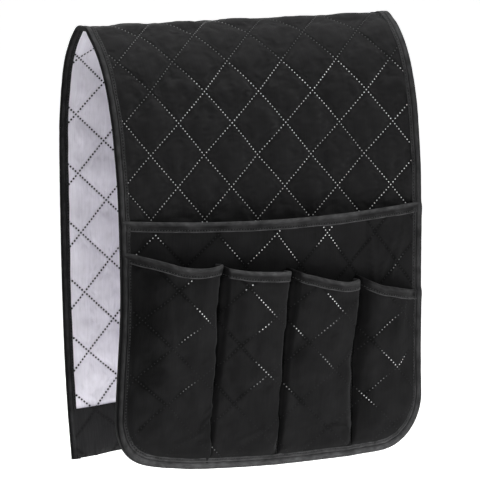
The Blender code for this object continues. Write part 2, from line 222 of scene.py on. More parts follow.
def resampled(at, run, values):
    """Columns of values that are known along a run, read at other places on it."""
    return np.stack([np.interp(at, run, column) for column in values.T], -1)


class Profile:
    """The strip's side view as one curve: 0 at the top of the arch, plus to the front."""

    def __init__(self, knots, top):
        last = len(knots) - 1
        ways = [(knots[min(k + 1, last)] - knots[max(k - 1, 0)]).normalized() for k in range(last + 1)]
        ways[top] = ways[top + 1] = (knots[top + 1] - knots[top]).normalized()
        points = []
        for k in range(last):
            reach = (knots[k + 1] - knots[k]).length / 3
            handles = (knots[k] + ways[k] * reach, knots[k + 1] - ways[k + 1] * reach)
            points += interpolate_bezier(knots[k], *handles, knots[k + 1], CURVE_STEPS + 1)[:-1]
        points.append(knots[-1])
        self.points = np.array(points)[:, 1:]
        self.along = lengths_along(self.points)
        self.along -= self.along[[top * CURVE_STEPS, (top + 1) * CURVE_STEPS]].mean()
        self.ways = unit(np.gradient(self.points, axis=0))
        self.knots = self.along[::CURVE_STEPS]

    def place(self, x, s, height):
        """Points at x, at s along the strip and at a height over its outer face."""
        y, z = (bent_line(s, self.along, column) for column in self.points.T)
        way = unit(resampled(s, self.along, self.ways))
        return np.stack([x, y + way[..., 1] * height, z - way[..., 0] * height], -1)


def make_profile():
    """The knots go up the rear leg, over the crown and down the front leg."""

    def knot(y, drop):
        return Vector((0.0, y, STACK - drop))

    def side(sign, reach, arch, leg, swing, drop):
        knots = [knot(sign * out * reach, down * ARCH_HEIGHT) for out, down in (*arch, (1.0, 1.0))]
        leg_drop = drop - ARCH_HEIGHT
        for down, out in leg:
            knots.append(knot(sign * (reach + out * swing), ARCH_HEIGHT + down * leg_drop))
        return knots

    rear = side(1, ARCH_REAR_REACH, ARCH_REAR_SHARES, REAR_LEG_SHARES, -REAR_LEAN, REAR_DROP)[::-1]
    top = [knot(CROWN_FLAT / 2, 0.0), knot(-CROWN_FLAT / 2, 0.0)]
    front = side(-1, ARCH_FRONT_REACH, ARCH_FRONT_SHARES, FRONT_LEG_SHARES, FRONT_BELLY, FRONT_DROP)
    profile = Profile(rear + top + front, len(rear))
    rear_fold = profile.knots[len(REAR_LEG_SHARES)]
    front_fold = profile.knots[len(rear + top) + len(ARCH_FRONT_SHARES)]
    return profile, rear_fold, front_fold


PROFILE, REAR_FOLD, FRONT_FOLD = make_profile()
REAR_END = PROFILE.along[0]
FRONT_END = PROFILE.along[-1]
HEM_FOLD = REAR_END + HEM_HEIGHT
CORNER_S = FRONT_END - CORNER_RADIUS

# How far the front cloth strays outwards from an even profile, down its left and its right edge
DRAPE_S = (0.0, 0.028, 0.05, 0.085, 0.12, 0.16, 0.20, 0.245, 0.29, 0.32, 0.355, 0.39, 0.4237)
DRAPE_LEFT = (
    0.0, 0.0006, 0.0008, 0.0018, 0.0032, 0.0050, 0.0058, 0.0062, 0.0054, 0.0030, 0.0006, 0.0, -0.0005
)
DRAPE_RIGHT = (
    -0.0012, 0.0034, 0.0042, 0.0040, 0.0035, 0.0028, 0.0010, -0.0012, -0.0012, -0.0006, 0.0008,
    0.0030, 0.0036,
)
DRAPE_POWER = 1.5
REAR_SINK = 0.0020
BILLOW = 0.0010
BILLOW_SIZE = 0.11
BILLOW_SEED = 11
# How far the front hem and the rear hem hang below a straight line
HEM_X = (-0.156, -0.148, -0.138, -0.121, -0.079, -0.037, 0.0055, 0.0476, 0.079, 0.111, 0.132, 0.150)
HEM_SAG = (
    0.0080, 0.0060, 0.0030, -0.0008, 0.0016, 0.0030, 0.0032, 0.0020, 0.0006, -0.0014, 0.0004, 0.0010
)
HEM_SAG_REACH = 0.16
REAR_HEM_X = (-0.158, -0.140, -0.112, -0.080, -0.030, 0.040, 0.095, 0.150)
REAR_HEM_SAG = (0.0004, -0.0008, -0.0042, -0.0058, -0.0032, 0.0002, -0.0016, 0.0)
REAR_SAG_REACH = 0.13


def drape(x, s):
    """How far the hanging cloth strays outwards from its even profile."""
    share = np.clip(x / STRIP_WIDTH + 0.5, 0.0, 1.0)
    left = smooth_line(s, DRAPE_S, DRAPE_LEFT) * (1 - share) ** DRAPE_POWER
    right = smooth_line(s, DRAPE_S, DRAPE_RIGHT) * share**DRAPE_POWER
    strayed = np.where(s < 0, -REAR_SINK * share**DRAPE_POWER, left + right)
    loose = rise(np.abs(s), 0.02, 0.08)
    return strayed + BILLOW * loose * noise(x + 1.0, s + 2.0, BILLOW_SIZE, BILLOW_SEED)


def sagged(x, s):
    """Where a place along the strip lies once both hems have sagged."""
    front = rise(s, FRONT_END - HEM_SAG_REACH, HEM_SAG_REACH)
    rear = rise(REAR_END + REAR_SAG_REACH - s, 0.0, REAR_SAG_REACH)
    rear_sag = smooth_line(x, REAR_HEM_X, REAR_HEM_SAG)
    return s + smooth_line(x, HEM_X, HEM_SAG) * front - rear_sag * rear


def place(x, s, height):
    x, s, height = np.broadcast_arrays(np.asarray(x, float), np.asarray(s, float), height)
    return PROFILE.place(x, sagged(x, s), height + drape(x, s))


def edge_distance(x, s):
    """How far inside the front's bound outline a place lies."""
    past_x, past_s = np.abs(x) - CORNER_X, s - CORNER_S
    corner = CORNER_RADIUS - np.hypot(past_x, past_s)
    straight = np.minimum(HALF_WIDTH - np.abs(x), FRONT_END - s)
    return np.where((past_x > 0) & (past_s > 0), corner, straight)


def from_edge(x, s):
    """How far inside the nearest taped edge a place lies. The rear end has no tape."""
    return np.where(s > 0, edge_distance(x, s), HALF_WIDTH - np.abs(x))


def clamp_front(x, s):
    """Moves places outside the front cloth onto its edge."""
    half, foot = HALF_WIDTH - CLOTH_INSET, FRONT_END - CLOTH_INSET
    x, s = np.clip(x, -half, half), np.clip(s, 0.0, foot)
    past_x, past_s = np.abs(x) - CORNER_X, s - CORNER_S
    reach = np.hypot(past_x, past_s)
    radius = CORNER_RADIUS - CLOTH_INSET
    outside = (past_x > 0) & (past_s > 0) & (reach > radius)
    pull = np.where(outside, radius / np.maximum(reach, 1e-9), 1.0)
    x = np.where(outside, np.sign(x) * (CORNER_X + past_x * pull), x)
    s = np.where(outside, CORNER_S + past_s * pull, s)
    return x, s


def clamp_band(low, high):
    """A clamp for a straight stretch of the strip between two places along it."""
    half = HALF_WIDTH - CLOTH_INSET
    return lambda x, s: (np.clip(x, -half, half), np.clip(s, low, high))


class Quilting:
    """Two families of welded lines on cloth: each lies where m or n is a whole number."""

    def __init__(self, starts, rows, shifts, tilt=QUILT_TILT, width=SQUARE_WIDTH):
        self.true_u = self.even_u = (0.0, 1.0)
        self.starts, self.rows, self.shifts = np.array(starts), np.array(rows), np.array(shifts)
        self.slope = math.sin(tilt) / ROW_HEIGHT
        self.across = math.cos(tilt) / width

    def stretch(self, even_u, true_u):
        """Moves even places across the cloth to where they truly lie."""
        self.even_u, self.true_u = even_u, true_u
        return self

    def squares(self, u, v):
        u = bent_line(u, self.true_u, self.even_u)
        a = (u - bent_line(v, self.starts, self.shifts)) * self.across
        b = bent_line(v, self.starts, self.rows) - u * self.slope
        return a + b, a - b

    def place(self, m, n):
        a, b = (m + n) / 2, (m - n) / 2
        u = a / self.across
        for _ in range(6):
            v = bent_line(b + u * self.slope, self.rows, self.starts)
            u = a / self.across + bent_line(v, self.starts, self.shifts)
        return bent_line(u, self.even_u, self.true_u), v

    def over(self, box):
        """Its squares at a scatter of places in a box of the cloth."""
        low_u, high_u, low_v, high_v = box
        return self.squares(*np.meshgrid(np.linspace(low_u, high_u, 9), np.linspace(low_v, high_v, 65)))


def even_quilting(u, v, width=SQUARE_WIDTH, height=ROW_HEIGHT):
    """Even squares with a crossing at u, v."""
    row = u * math.sin(QUILT_TILT) / ROW_HEIGHT
    turn = math.cos(QUILT_TILT) / height
    return Quilting((v, v + 1.0), (row, row + turn), (u, u - math.tan(QUILT_TILT)), width=width)


# The strip's rows are a little closer over the crown, where the cloth was drawn in
STRIP_QUILTING = Quilting(
    (-0.420, -0.0454, 0.0235, 0.053, 0.083, 0.1135, 0.144, 0.428),
    (-8.98, -2.11, -0.543, -0.0335, 0.4846, 1.0114, 1.5382, 6.443),
    (0.0376, 0.0228, 0.0308, 0.0268, 0.0249, 0.0210, 0.0166, 0.0042),
)


def add_object(name, data):
    made = bpy.data.objects.new(name, data)
    bpy.context.scene.collection.objects.link(made)
    return made


def new_mesh(name, points, faces):
    mesh = bpy.data.meshes.new(name)
    mesh.from_pydata(points, [], faces)
    mesh.update()
    return mesh


def set_values(mesh, name, values):
    values = np.asarray(values, np.float32)
    mesh.attributes.new(name, "FLOAT", "POINT").data.foreach_set("value", values)


def grid_faces(rows, columns):
    """Four-sided faces between rows and columns of points."""
    ids = np.arange(rows * columns).reshape(rows, columns)
    return np.stack([ids[:-1, :-1], ids[1:, :-1], ids[1:, 1:], ids[:-1, 1:]], -1)


# The blown-up patch of quilting that repeats over all of the cloth
PATCH_SQUARES = 4
PATCH_CELLS = 24
PATCH_POINTS = PATCH_SQUARES * PATCH_CELLS + 1
PATCH_FRAMES = 24
PATCH_SIDE = 0.040
PATCH_SEED = 5
PATCH_CLOTH = {
    "quality": 6,
    "mass": 0.12,
    "tension_stiffness": 12.0,
    "compression_stiffness": 12.0,
    "shear_stiffness": 6.0,
    "bending_stiffness": 0.02,
    "vertex_group_mass": "welds",
    "shrink_min": -0.035,
    "use_pressure": True,
    "uniform_pressure_force": 1.6,
}


def simulated_patch():
    """Cloth held along its welded lines and blown up by the wadding, as heights from 0 to 1."""
    step = PATCH_SIDE / PATCH_CELLS
    uneven = np.random.default_rng(PATCH_SEED).uniform(0.0, step / 12, (PATCH_POINTS, PATCH_POINTS))
    on_line = np.arange(PATCH_POINTS) % PATCH_CELLS == 0
    held = on_line[:, None] | on_line[None, :]
    uneven[held] = 0.0
    across, along = np.meshgrid(*[np.arange(PATCH_POINTS) * step] * 2, indexing="ij")
    points = np.stack([across, along, uneven], -1).reshape(-1, 3)
    faces = grid_faces(PATCH_POINTS, PATCH_POINTS).reshape(-1, 4)
    mesh = new_mesh("patch", points.tolist(), faces.tolist())
    patch = add_object("patch", mesh)
    patch.vertex_groups.new(name="welds").add(np.flatnonzero(held.ravel()).tolist(), 1.0, "REPLACE")
    cloth = patch.modifiers.new("cloth", "CLOTH")
    for key, value in PATCH_CLOTH.items():
        setattr(cloth.settings, key, value)
    cloth.settings.effector_weights.gravity = 0.0
    cloth.point_cache.frame_start = 1
    cloth.point_cache.frame_end = PATCH_FRAMES
    scene = bpy.context.scene
    for number in range(1, PATCH_FRAMES + 1):
        scene.frame_set(number)
    evaluated = patch.evaluated_get(bpy.context.evaluated_depsgraph_get())
    heights = np.abs([v.co.z for v in evaluated.data.vertices]).reshape(held.shape)
    bpy.data.objects.remove(patch)
    bpy.data.meshes.remove(mesh)
    scene.frame_set(1)
    return heights / np.percentile(heights, 99)


PATCH = simulated_patch()[:-1, :-1]


def puffs(m, n):
    """The patch of quilting, repeated, at a place given in squares."""
    return from_table(PATCH, m * PATCH_CELLS, n * PATCH_CELLS, lambda share: share)


def line_nearness(m, n, width=0.055):
    """1 on a welded line and 0 a little way off it. The width is a share of a square."""
    off = np.minimum(np.abs(m - np.round(m)), np.abs(n - np.round(n)))
    return np.clip(1 - off / width, 0.0, 1.0)


class Cloth:
    """A sheet of points with normals, places on the flat cloth, and faces."""

    def __init__(self, points, normals, flat, faces, crease):
        self.points, self.normals, self.flat, self.crease = points, normals, flat, crease
        a, b, c, d = (points[faces[:, k]] for k in range(4))
        turned = np.einsum("ij,ij->i", np.cross(c - a, d - b), normals[faces].mean(1)) < 0
        self.faces = np.where(turned[:, None], faces[:, ::-1], faces)

    def make(self, name, material):
        mesh = new_mesh(name, self.points.tolist(), self.faces.tolist())
        corners = np.zeros(len(mesh.loops), np.int32)
        mesh.loops.foreach_get("vertex_index", corners)
        places = self.flat[corners].astype(np.float32)
        mesh.uv_layers.new(name="flat").data.foreach_set("uv", places.ravel())
        # The painted light and shade that the materials turn into colour
        set_values(mesh, "crease", self.crease)
        mesh.shade_smooth()
        mesh.normals_split_custom_set_from_vertices(self.normals.tolist())
        mesh.materials.append(material)
        return add_object(name, mesh)

    def spots(self, flat_places):
        """Each place on the flat cloth that the sheet has, with its point and its normal there."""
        flat = [Vector((u, v, 0.0)) for u, v in self.flat]
        tree = BVHTree.FromPolygons(flat, self.faces.tolist())
        found = []
        for u, v in flat_places:
            hit, _, face, _ = tree.ray_cast(Vector((u, v, 1.0)), Vector((0.0, 0.0, -1.0)), 2.0)
            if face is None:
                continue
            a, b, c, d = self.faces[face].tolist()
            trio = [a, b, c] if inside_triangle(hit, [flat[a], flat[b], flat[c]]) else [a, c, d]
            solid = [Vector(self.points[k]) for k in trio]
            point = barycentric_transform(hit, *[flat[k] for k in trio], *solid)
            found.append((u, v, *point, *unit(self.normals[trio].mean(0))))
        return np.array(found).reshape(-1, 8)


def inside_triangle(point, corners):
    ways = zip(corners, corners[1:] + corners[:1])
    sides = [(b.x - a.x) * (point.y - a.y) - (b.y - a.y) * (point.x - a.x) for a, b in ways]
    return min(sides) >= 0 or max(sides) <= 0


NORMAL_STEP = 0.0004


def quilted_sheet(quilting, box, clamp, surface, outward):
    """A sheet whose mesh follows its quilting, cut to a clamp. surface(x, s) gives its points."""
    ticks = np.arange(SQUARE_CELLS) / SQUARE_CELLS
    ticks = ticks - CELL_SQUEEZE * np.sin(2 * np.pi * ticks) / (2 * np.pi)

    def stations(values):
        whole = np.arange(math.floor(values.min()), math.ceil(values.max()))
        return np.append((whole[:, None] + ticks[None, :]).ravel(), whole[-1] + 1)

    m, n = np.meshgrid(*[stations(values) for values in quilting.over(box)], indexing="ij")
    free_x, free_s = quilting.place(m, n)
    x, s = clamp(free_x, free_s)
    inside = np.hypot(x - free_x, s - free_s) < 1e-7
    kept = inside[:-1, :-1] | inside[1:, :-1] | inside[1:, 1:] | inside[:-1, 1:]
    used, faces = np.unique(grid_faces(*m.shape)[kept], return_inverse=True)
    x, s = x.ravel()[used], s.ravel()[used]
    along_x = surface(x + NORMAL_STEP, s) - surface(x - NORMAL_STEP, s)
    along_s = surface(x, s + NORMAL_STEP) - surface(x, s - NORMAL_STEP)
    normals = outward * unit(np.cross(along_s, along_x))
    # Painted shade along the welded lines
    crease = line_nearness(*quilting.squares(x, s))
    return Cloth(surface(x, s), normals, np.stack([x, s], -1), faces.reshape(-1, 4), crease)


def grid_sheet(points, flat, crease, flip=False):
    """A sheet from rows and columns of points."""
    normals = unit(np.cross(np.gradient(points, axis=0), np.gradient(points, axis=1)))
    normals = (-normals if flip else normals).reshape(-1, 3)
    faces = grid_faces(*points.shape[:2]).reshape(-1, 4)
    return Cloth(points.reshape(-1, 3), normals, flat.reshape(-1, 2), faces, crease.ravel())


def thicken(piece, thickness):
    solid = piece.modifiers.new("thickness", "SOLIDIFY")
    solid.thickness = thickness
    solid.offset = -1.0
    solid.use_even_offset = False
    return piece


# The way across a copied shape where no other is given
COPY_ACROSS = np.array([0.0, 0.31, 0.95])


def merged(name, spots, shape, tones, material, turns=COPY_ACROSS):
    """Copies of one small shape, each set on a spot: its across, along and out directions."""
    template, faces = shape
    centres, normals = spots[:, 2:5], spots[:, 5:8]
    if turns is COPY_ACROSS:
        across = unit(np.cross(normals, turns))
    else:
        across = unit(turns - normals * np.einsum("ij,ij->i", turns, normals)[:, None])
    points = centres[:, None, :]
    for k, way in enumerate((across, np.cross(normals, across), normals)):
        points = points + way[:, None, :] * template[None, :, k : k + 1]
    size = len(template)
    all_faces = [[corner + size * k for corner in face] for k in range(len(spots)) for face in faces]
    mesh = new_mesh(name, points.reshape(-1, 3).tolist(), all_faces)
    set_values(mesh, "tone", np.repeat(tones, size))
    mesh.shade_smooth()
    mesh.materials.append(material)
    return add_object(name, mesh)


def ring_faces(rings, sides):
    """Four-sided faces between each ring of corners and the next."""
    return [
        (at + k, at + (k + 1) % sides, at + sides + (k + 1) % sides, at + sides + k)
        for at in range(0, (rings - 1) * sides, sides)
        for k in range(sides)
    ]


def around(sides):
    return [(math.cos(2 * math.pi * k / sides), math.sin(2 * math.pi * k / sides)) for k in range(sides)]


DOT_SIDES = 8
# The dot's rings: radius and height
DOT_RINGS = ((1.0, -0.9), (0.80, 0.75), (0.42, 1.0))
DOT_HOLLOW = 0.8
STITCH_SIDES = 6
# The stitch's rings: place along it, radius and height
STITCH_RINGS = ((-0.5, 0.35, -0.5), (-0.32, 0.9, 0.25), (0.32, 0.9, 0.25), (0.5, 0.35, -0.5))


def dot_shape():
    """A low round button: a rim sunk in the cloth, a shoulder and a slightly hollow top."""
    template = [
        (DOT_RADIUS * radius * x, DOT_RADIUS * radius * y, DOT_RISE * height)
        for radius, height in DOT_RINGS
        for x, y in around(DOT_SIDES)
    ]
    template.append((0.0, 0.0, DOT_RISE * DOT_HOLLOW))
    centre = len(template) - 1
    top = range(centre - DOT_SIDES, centre)
    fan = [(k, top[(k + 1 - top[0]) % DOT_SIDES], centre) for k in top]
    return np.array(template), ring_faces(len(DOT_RINGS), DOT_SIDES) + fan


def stitch_shape():
    """A short round thread whose ends dip into the cloth."""
    template = [
        (STITCH_LENGTH * along, STITCH_RADIUS * radius * y, STITCH_RADIUS * (height + radius * z))
        for along, radius, height in STITCH_RINGS
        for y, z in around(STITCH_SIDES)
    ]
    ends = [tuple(range(STITCH_SIDES))[::-1], tuple(range(len(template)))[-STITCH_SIDES:]]
    return np.array(template), ring_faces(len(STITCH_RINGS), STITCH_SIDES) + ends


DOT = dot_shape()
LINING_DOT = (DOT[0] * LINING_DOT_SCALE, DOT[1])
STITCH = stitch_shape()


def weld_places(quilting, box):
    """Where the welds lie on the flat cloth, along both families of lines."""
    ends = [(math.floor(values.min()), math.ceil(values.max())) for values in quilting.over(box)]
    m_lines, n_lines = (np.arange(low, high + 1) for low, high in ends)
    m_dots, n_dots = (
        np.arange(low * DOTS_PER_SIDE, high * DOTS_PER_SIDE) / DOTS_PER_SIDE for low, high in ends
    )
    m_between = m_dots[np.abs(m_dots - np.round(m_dots)) > 1e-6]
    families = ((m_lines, n_dots), (m_between, n_lines))
    pairs = np.concatenate([np.stack(np.meshgrid(m, n), -1).reshape(-1, 2) for m, n in families])
    u, v = quilting.place(*pairs.T)
    low_u, high_u, low_v, high_v = box
    near = (u > low_u) & (u < high_u) & (v > low_v) & (v < high_v)
    return u[near], v[near]


# Noise textures stay mostly between these
NOISE_LOW, NOISE_HIGH = 0.3, 0.7


class Nodes:
    """A tree of shader nodes, with one call for each kind."""

    def __init__(self, tree):
        self.tree = tree

    def feed(self, socket, value):
        if isinstance(value, bpy.types.NodeSocket):
            self.tree.links.new(value, socket)
        else:
            socket.default_value = value

    def node(self, kind, inputs=None, **settings):
        node = self.tree.nodes.new(f"ShaderNode{kind}")
        for key, value in settings.items():
            setattr(node, key, value)
        for key, value in (inputs or {}).items():
            self.feed(node.inputs[key], value)
        return node.outputs

    def ramp(self, fac, low, high, start=0.0, end=1.0):
        """From one value to another as fac goes from start to end."""
        sources = {"Value": fac, "From Min": start, "From Max": end, "To Min": low, "To Max": high}
        return self.node("MapRange", sources)["Result"]

    def varied(self, fac, low, high):
        """From one value to another over the range of a noise texture."""
        return self.ramp(fac, low, high, NOISE_LOW, NOISE_HIGH)

    def times(self, a, b):
        return self.node("Math", {0: a, 1: b}, operation="MULTIPLY")[0]

    def plus(self, a, b):
        return self.node("Math", {0: a, 1: b}, operation="ADD")[0]

    def seen(self):
        """1 or more for what the camera sees, also reflected or through glass, and 0 for plain light."""
        path = self.node("LightPath")
        straight = self.plus(path["Is Camera Ray"], path["Is Glossy Ray"])
        return self.plus(straight, path["Is Transmission Ray"])


class Shader(Nodes):
    """A material's nodes."""

    def __init__(self, name):
        self.material = bpy.data.materials.new(name)
        self.material.use_nodes = True
        super().__init__(self.material.node_tree)
        self.surface = self.tree.nodes["Principled BSDF"]

    def set(self, **inputs):
        for key, value in inputs.items():
            self.feed(self.surface.inputs[key.replace("_", " ")], value)

    def flat(self):
        """The place on the flat cloth, in metres."""
        return self.node("UVMap", uv_map="flat")["UV"]

    def position(self):
        return self.node("NewGeometry")["Position"]

    def attribute(self, name):
        return self.node("Attribute", attribute_name=name)["Fac"]

    def streaks(self, flat, squeeze, scale, detail):
        """Noise drawn out along the cloth."""
        vector = self.node("Mapping", {"Vector": flat, "Scale": (1.0, squeeze, 1.0)})["Vector"]
        return self.noise(vector, scale, detail)

    def noise(self, vector, scale, detail):
        return self.node("TexNoise", {"Vector": vector, "Scale": scale, "Detail": detail})["Fac"]

    def waves(self, vector, period, direction, distortion):
        """Even bands along the flat cloth, one each period."""
        inputs = {"Vector": vector, "Scale": 2 * math.pi / (20 * period), "Distortion": distortion}
        return self.node("TexWave", inputs, wave_type="BANDS", bands_direction=direction)["Fac"]

    def tint(self, colour, strength):
        """The colour times a strength that changes over the surface."""
        return self.node("VectorMath", {0: colour, "Scale": strength}, operation="SCALE")["Vector"]

    def bump(self, height, distance, strength):
        return self.node("Bump", {"Height": height, "Distance": distance, "Strength": strength})["Normal"]


# The cloth's look: streaks and blotches in its colour, and the waviness of its threads
STREAK_SQUEEZE = 0.05
STREAK_SCALE = 900.0
BLOTCH_SCALE = 38.0
CLOTH_DETAIL = 3.0
ROUGHNESS_SPREAD = 0.06
# How much paler painted light makes the cloth
PAINTED_LIGHT_LIFT = 1.2
THREAD_WAVER = 0.6
THREAD_RELIEF = 0.35


def woven_cloth(name, colour, thread, streak, blotch, dark, roughness, specular, sheen):
    """Plain woven cloth: two families of threads, faint streaks, soft blotches, and painted light and shade
    from its point values: painted shade above 0, such as along the welded lines, and painted light below 0.
    """
    shader = Shader(name)
    flat = shader.flat()
    streaks = shader.streaks(flat, STREAK_SQUEEZE, STREAK_SCALE, CLOTH_DETAIL)
    blotches = shader.noise(flat, BLOTCH_SCALE, CLOTH_DETAIL)
    crease = shader.attribute("crease")
    # Painted shade darkens the colour above 0 and painted light lifts it below 0
    crease = shader.plus(shader.ramp(crease, 1.0, dark), shader.ramp(crease, PAINTED_LIGHT_LIFT, 0.0, -1.0, 0.0))
    strength = shader.times(
        shader.varied(streaks, 1.0 - streak, 1.0 + streak),
        shader.varied(blotches, 1.0 - blotch, 1.0 + blotch),
    )
    weft = shader.waves(flat, thread, "Y", THREAD_WAVER)
    warp = shader.waves(flat, thread, "X", THREAD_WAVER)
    weave = shader.plus(shader.times(weft, 0.5), shader.times(warp, 0.5))
    shader.set(
        Base_Color=shader.tint(colour, shader.times(strength, crease)),
        Roughness=shader.varied(blotches, roughness - ROUGHNESS_SPREAD, roughness + ROUGHNESS_SPREAD),
        Normal=shader.bump(weave, thread * THREAD_RELIEF, 0.5),
        Specular_IOR_Level=specular,
        Sheen_Weight=sheen,
        Sheen_Roughness=0.45,
    )
    return shader.material


# A tape's colour strength under painted highlights and under painted shade where it is sunk
PAINTED_HIGHLIGHT_LEVEL = 3.6
PAINTED_SHADE_LEVEL = 0.20
RIB_PERIOD = 0.0009
RIB_WAVER = 0.4
RIB_RELIEF = 0.00018
FIBRE_SQUEEZE = 0.12
FIBRE_SCALE = 1400.0
WEAR_SCALE = 90.0


def satin_tape(name, colour):
    """Ribbed tape, smoother and lighter than the cloth, with painted highlights along its ridges and
    painted shade in its grooves.
    """
    shader = Shader(name)
    flat = shader.flat()
    ribs = shader.waves(flat, RIB_PERIOD, "Y", RIB_WAVER)
    fibres = shader.streaks(flat, FIBRE_SQUEEZE, FIBRE_SCALE, 2.0)
    wear = shader.noise(flat, WEAR_SCALE, 4.0)
    strength = shader.times(shader.varied(fibres, 0.72, 1.28), shader.varied(wear, 0.55, 1.45))
    painted_level = shader.ramp(shader.attribute("crease"), PAINTED_HIGHLIGHT_LEVEL, PAINTED_SHADE_LEVEL, -2.0, 1.0)
    shader.set(
        Base_Color=shader.tint(colour, shader.times(strength, painted_level)),
        Roughness=shader.varied(wear, 0.46, 0.60),
        Normal=shader.bump(ribs, RIB_RELIEF, 0.5),
        Specular_IOR_Level=0.03,
    )
    return shader.material


def weld_finish(name, dark, light, specular):
    """Small welded dots, each as pale as its own tone says, with a slightly melted grain."""
    shader = Shader(name)
    grain = shader.noise(shader.position(), 2500.0, 2.0)
    ends = {0: shader.attribute("tone"), "A": (*dark, 1.0), "B": (*light, 1.0)}
    shader.set(
        Base_Color=shader.node("Mix", ends, data_type="RGBA")[2],
        Roughness=shader.varied(grain, 0.35, 0.6),
        Normal=shader.bump(grain, 0.0001, 0.6),
        Specular_IOR_Level=specular,
    )
    return shader.material


def sewing_thread(name, colour):
    """Twisted thread."""
    shader = Shader(name)
    twist = shader.noise(shader.position(), 3000.0, 1.0)
    strength = shader.times(shader.attribute("tone"), shader.varied(twist, 0.7, 1.3))
    shader.set(
        Base_Color=shader.tint(colour, strength),
        Roughness=shader.varied(twist, 0.5, 0.7),
        Normal=shader.bump(twist, 0.0002, 0.8),
        Specular_IOR_Level=0.2,
        Sheen_Weight=0.1,
    )
    return shader.material


BLACK_FACE = woven_cloth(
    "black_polyester", (0.0082, 0.0082, 0.0084), thread=0.0007, streak=0.16, blotch=0.14, dark=0.35,
    roughness=0.72, specular=0.03, sheen=0.05,
)
BLACK_POCKET = woven_cloth(
    "black_pocket_cloth", (0.0102, 0.0102, 0.0104), thread=0.0007, streak=0.12, blotch=0.18, dark=0.40,
    roughness=0.80, specular=0.012, sheen=0.0,
)
BLACK_FACING = woven_cloth(
    "black_facing_cloth", (0.0185, 0.0185, 0.0190), thread=0.0008, streak=0.18, blotch=0.10, dark=0.45,
    roughness=0.80, specular=0.05, sheen=0.02,
)
GREY_LINING = woven_cloth(
    "lavender_grey_lining", (0.83, 0.81, 0.875), thread=0.0009, streak=0.05, blotch=0.10, dark=0.80,
    roughness=0.82, specular=0.20, sheen=0.08,
)
BLACK_TAPE = satin_tape("black_satin_tape", (0.0135, 0.0135, 0.0138))
POCKET_TAPE = satin_tape("black_pocket_tape", (0.0185, 0.0185, 0.0188))
PALE_WELD = weld_finish("pale_welds", (0.0118, 0.0118, 0.0121), (0.62, 0.62, 0.63), 0.03)
DARK_WELD = weld_finish("dark_welds", (0.006, 0.006, 0.007), (0.02, 0.02, 0.022), 0.3)
BLACK_THREAD = sewing_thread("black_thread", (0.006, 0.006, 0.0065))

# The strip's two faces. Near the outline the edge tape presses them flat.
FLAT_EDGE = 0.0065
FLAT_FADE = 0.009
PRESSED_FACE = -0.0003
FACE_PUCKER = (0.00022, 0.006, 0.6, 2, 21)
FACE_WRINKLE = (0.0005, 0.015, 0.35, 4, 23)
LINING_PUCKER = (0.00022, 0.009, 0.6, 5, 22)
LINING_PUFF = 0.8
# The cloth is drawn flatter where it bends over the armrest and where the pockets lie on it
CROWN_CALM = 0.45
CROWN_REACH = 0.085
COVERED_CALM = 0.5
COVERED_FADE = 0.02
# The facing, and how far its seam presses the cloth flat on both sides
FACING_THICK = 0.0009
FACING_CLEAR = 0.0001
FACING_PRESS = 0.006
FACING_PUFF = 0.6
# At the rear end the face and the facing round over towards each other
TURN_REACH = 0.004
TURN_DEPTH = 0.0013
# The lining runs on a little behind the facing's top edge
LINING_END = HEM_FOLD - 0.003


def near_tape(x, s):
    """1 under the edge tape and 0 a little way inside it."""
    return 1 - rise(from_edge(x, s), FLAT_EDGE, FLAT_FADE)


def large_mouth(x):
    share = np.asarray(x) / PANEL_HALF
    return FRONT_END - LARGE_POCKET_HEIGHT + LARGE_MOUTH_SAG * (1 - share**2)


def turned_in(s):
    return TURN_DEPTH * rise(REAR_END + TURN_REACH - s, 0.0, TURN_REACH)


def face_surface(x, s):
    calm = 1 - CROWN_CALM * (1 - rise(np.abs(s), CROWN_REACH / 2, CROWN_REACH / 2))
    relief = (PUFF_HEIGHT * puffs(*STRIP_QUILTING.squares(x, s)) - WELD_DEPTH) * calm
    relief = relief + crumples(FACE_PUCKER, x, s) + crumples(FACE_WRINKLE, x, s)
    relief = relief * (1 - COVERED_CALM * rise(s, large_mouth(x), COVERED_FADE) * (s > 0))
    pressed = near_tape(x, s)
    return place(x, s, relief * (1 - pressed) + PRESSED_FACE * pressed - turned_in(s))


def lining_surface(x, s):
    m, n = STRIP_QUILTING.squares(x, s)
    relief = PUFF_HEIGHT * LINING_PUFF * puffs(m + 2, n + 1) - WELD_DEPTH + crumples(LINING_PUCKER, x, s)
    relief = relief * rise(np.abs(s - HEM_FOLD), 0.0, FACING_PRESS)
    pressed = near_tape(x, s)
    squeezed = (STACK - EDGE_STACK - PRESSED_FACE) * pressed
    return place(x, s, -STACK - relief * (1 - pressed) + squeezed)


def facing_surface(x, s):
    """The black facing inside the rear flap's end. Its folded top edge lies on the lining."""
    m, n = STRIP_QUILTING.squares(x, s)
    relief = FACING_PUFF * (PUFF_HEIGHT * puffs(m + 1, n) - WELD_DEPTH)
    relief = relief * (1 - rise(s, HEM_FOLD - FACING_PRESS, FACING_PRESS / 2))
    pressed = near_tape(x, s)
    height = relief * (1 - pressed) + (PRESSED_FACE - STACK + EDGE_STACK) * pressed + FACING_THICK
    return place(x, s, -STACK - height + turned_in(s))


# How pale the welds are, in patches, and how much each one varies
TONE_PATCH = 0.055
TONE_SPREAD = (0.75, 1.1)
# The face's welds are dull over the crown, most at its right, and at the front's left edge
CROWN_TONE = (0.24, ((-0.03, 0.06, -0.14),))
BRIGHT_START = (0.085, ((-0.105, 0.05, -0.039), (0.07, 0.05, 0.010)))
LEFT_TONE = (0.65, ((-0.14, 0.03, 0.35),))
BRIGHT_REACH = 0.022
REAR_TONE = (0.3, ((0.015, 0.035, 0.7),))


def dot_tones(u, v, seed, low, high):
    """How pale each weld is: bright and dull patches, and each weld a little different."""
    patch = 0.5 + 0.5 * noise(u + 3, v + 3, TONE_PATCH, seed)
    single = np.random.default_rng(seed).uniform(*TONE_SPREAD, len(u))
    return np.clip((low + (high - low) * patch) * single, 0.0, 1.0)


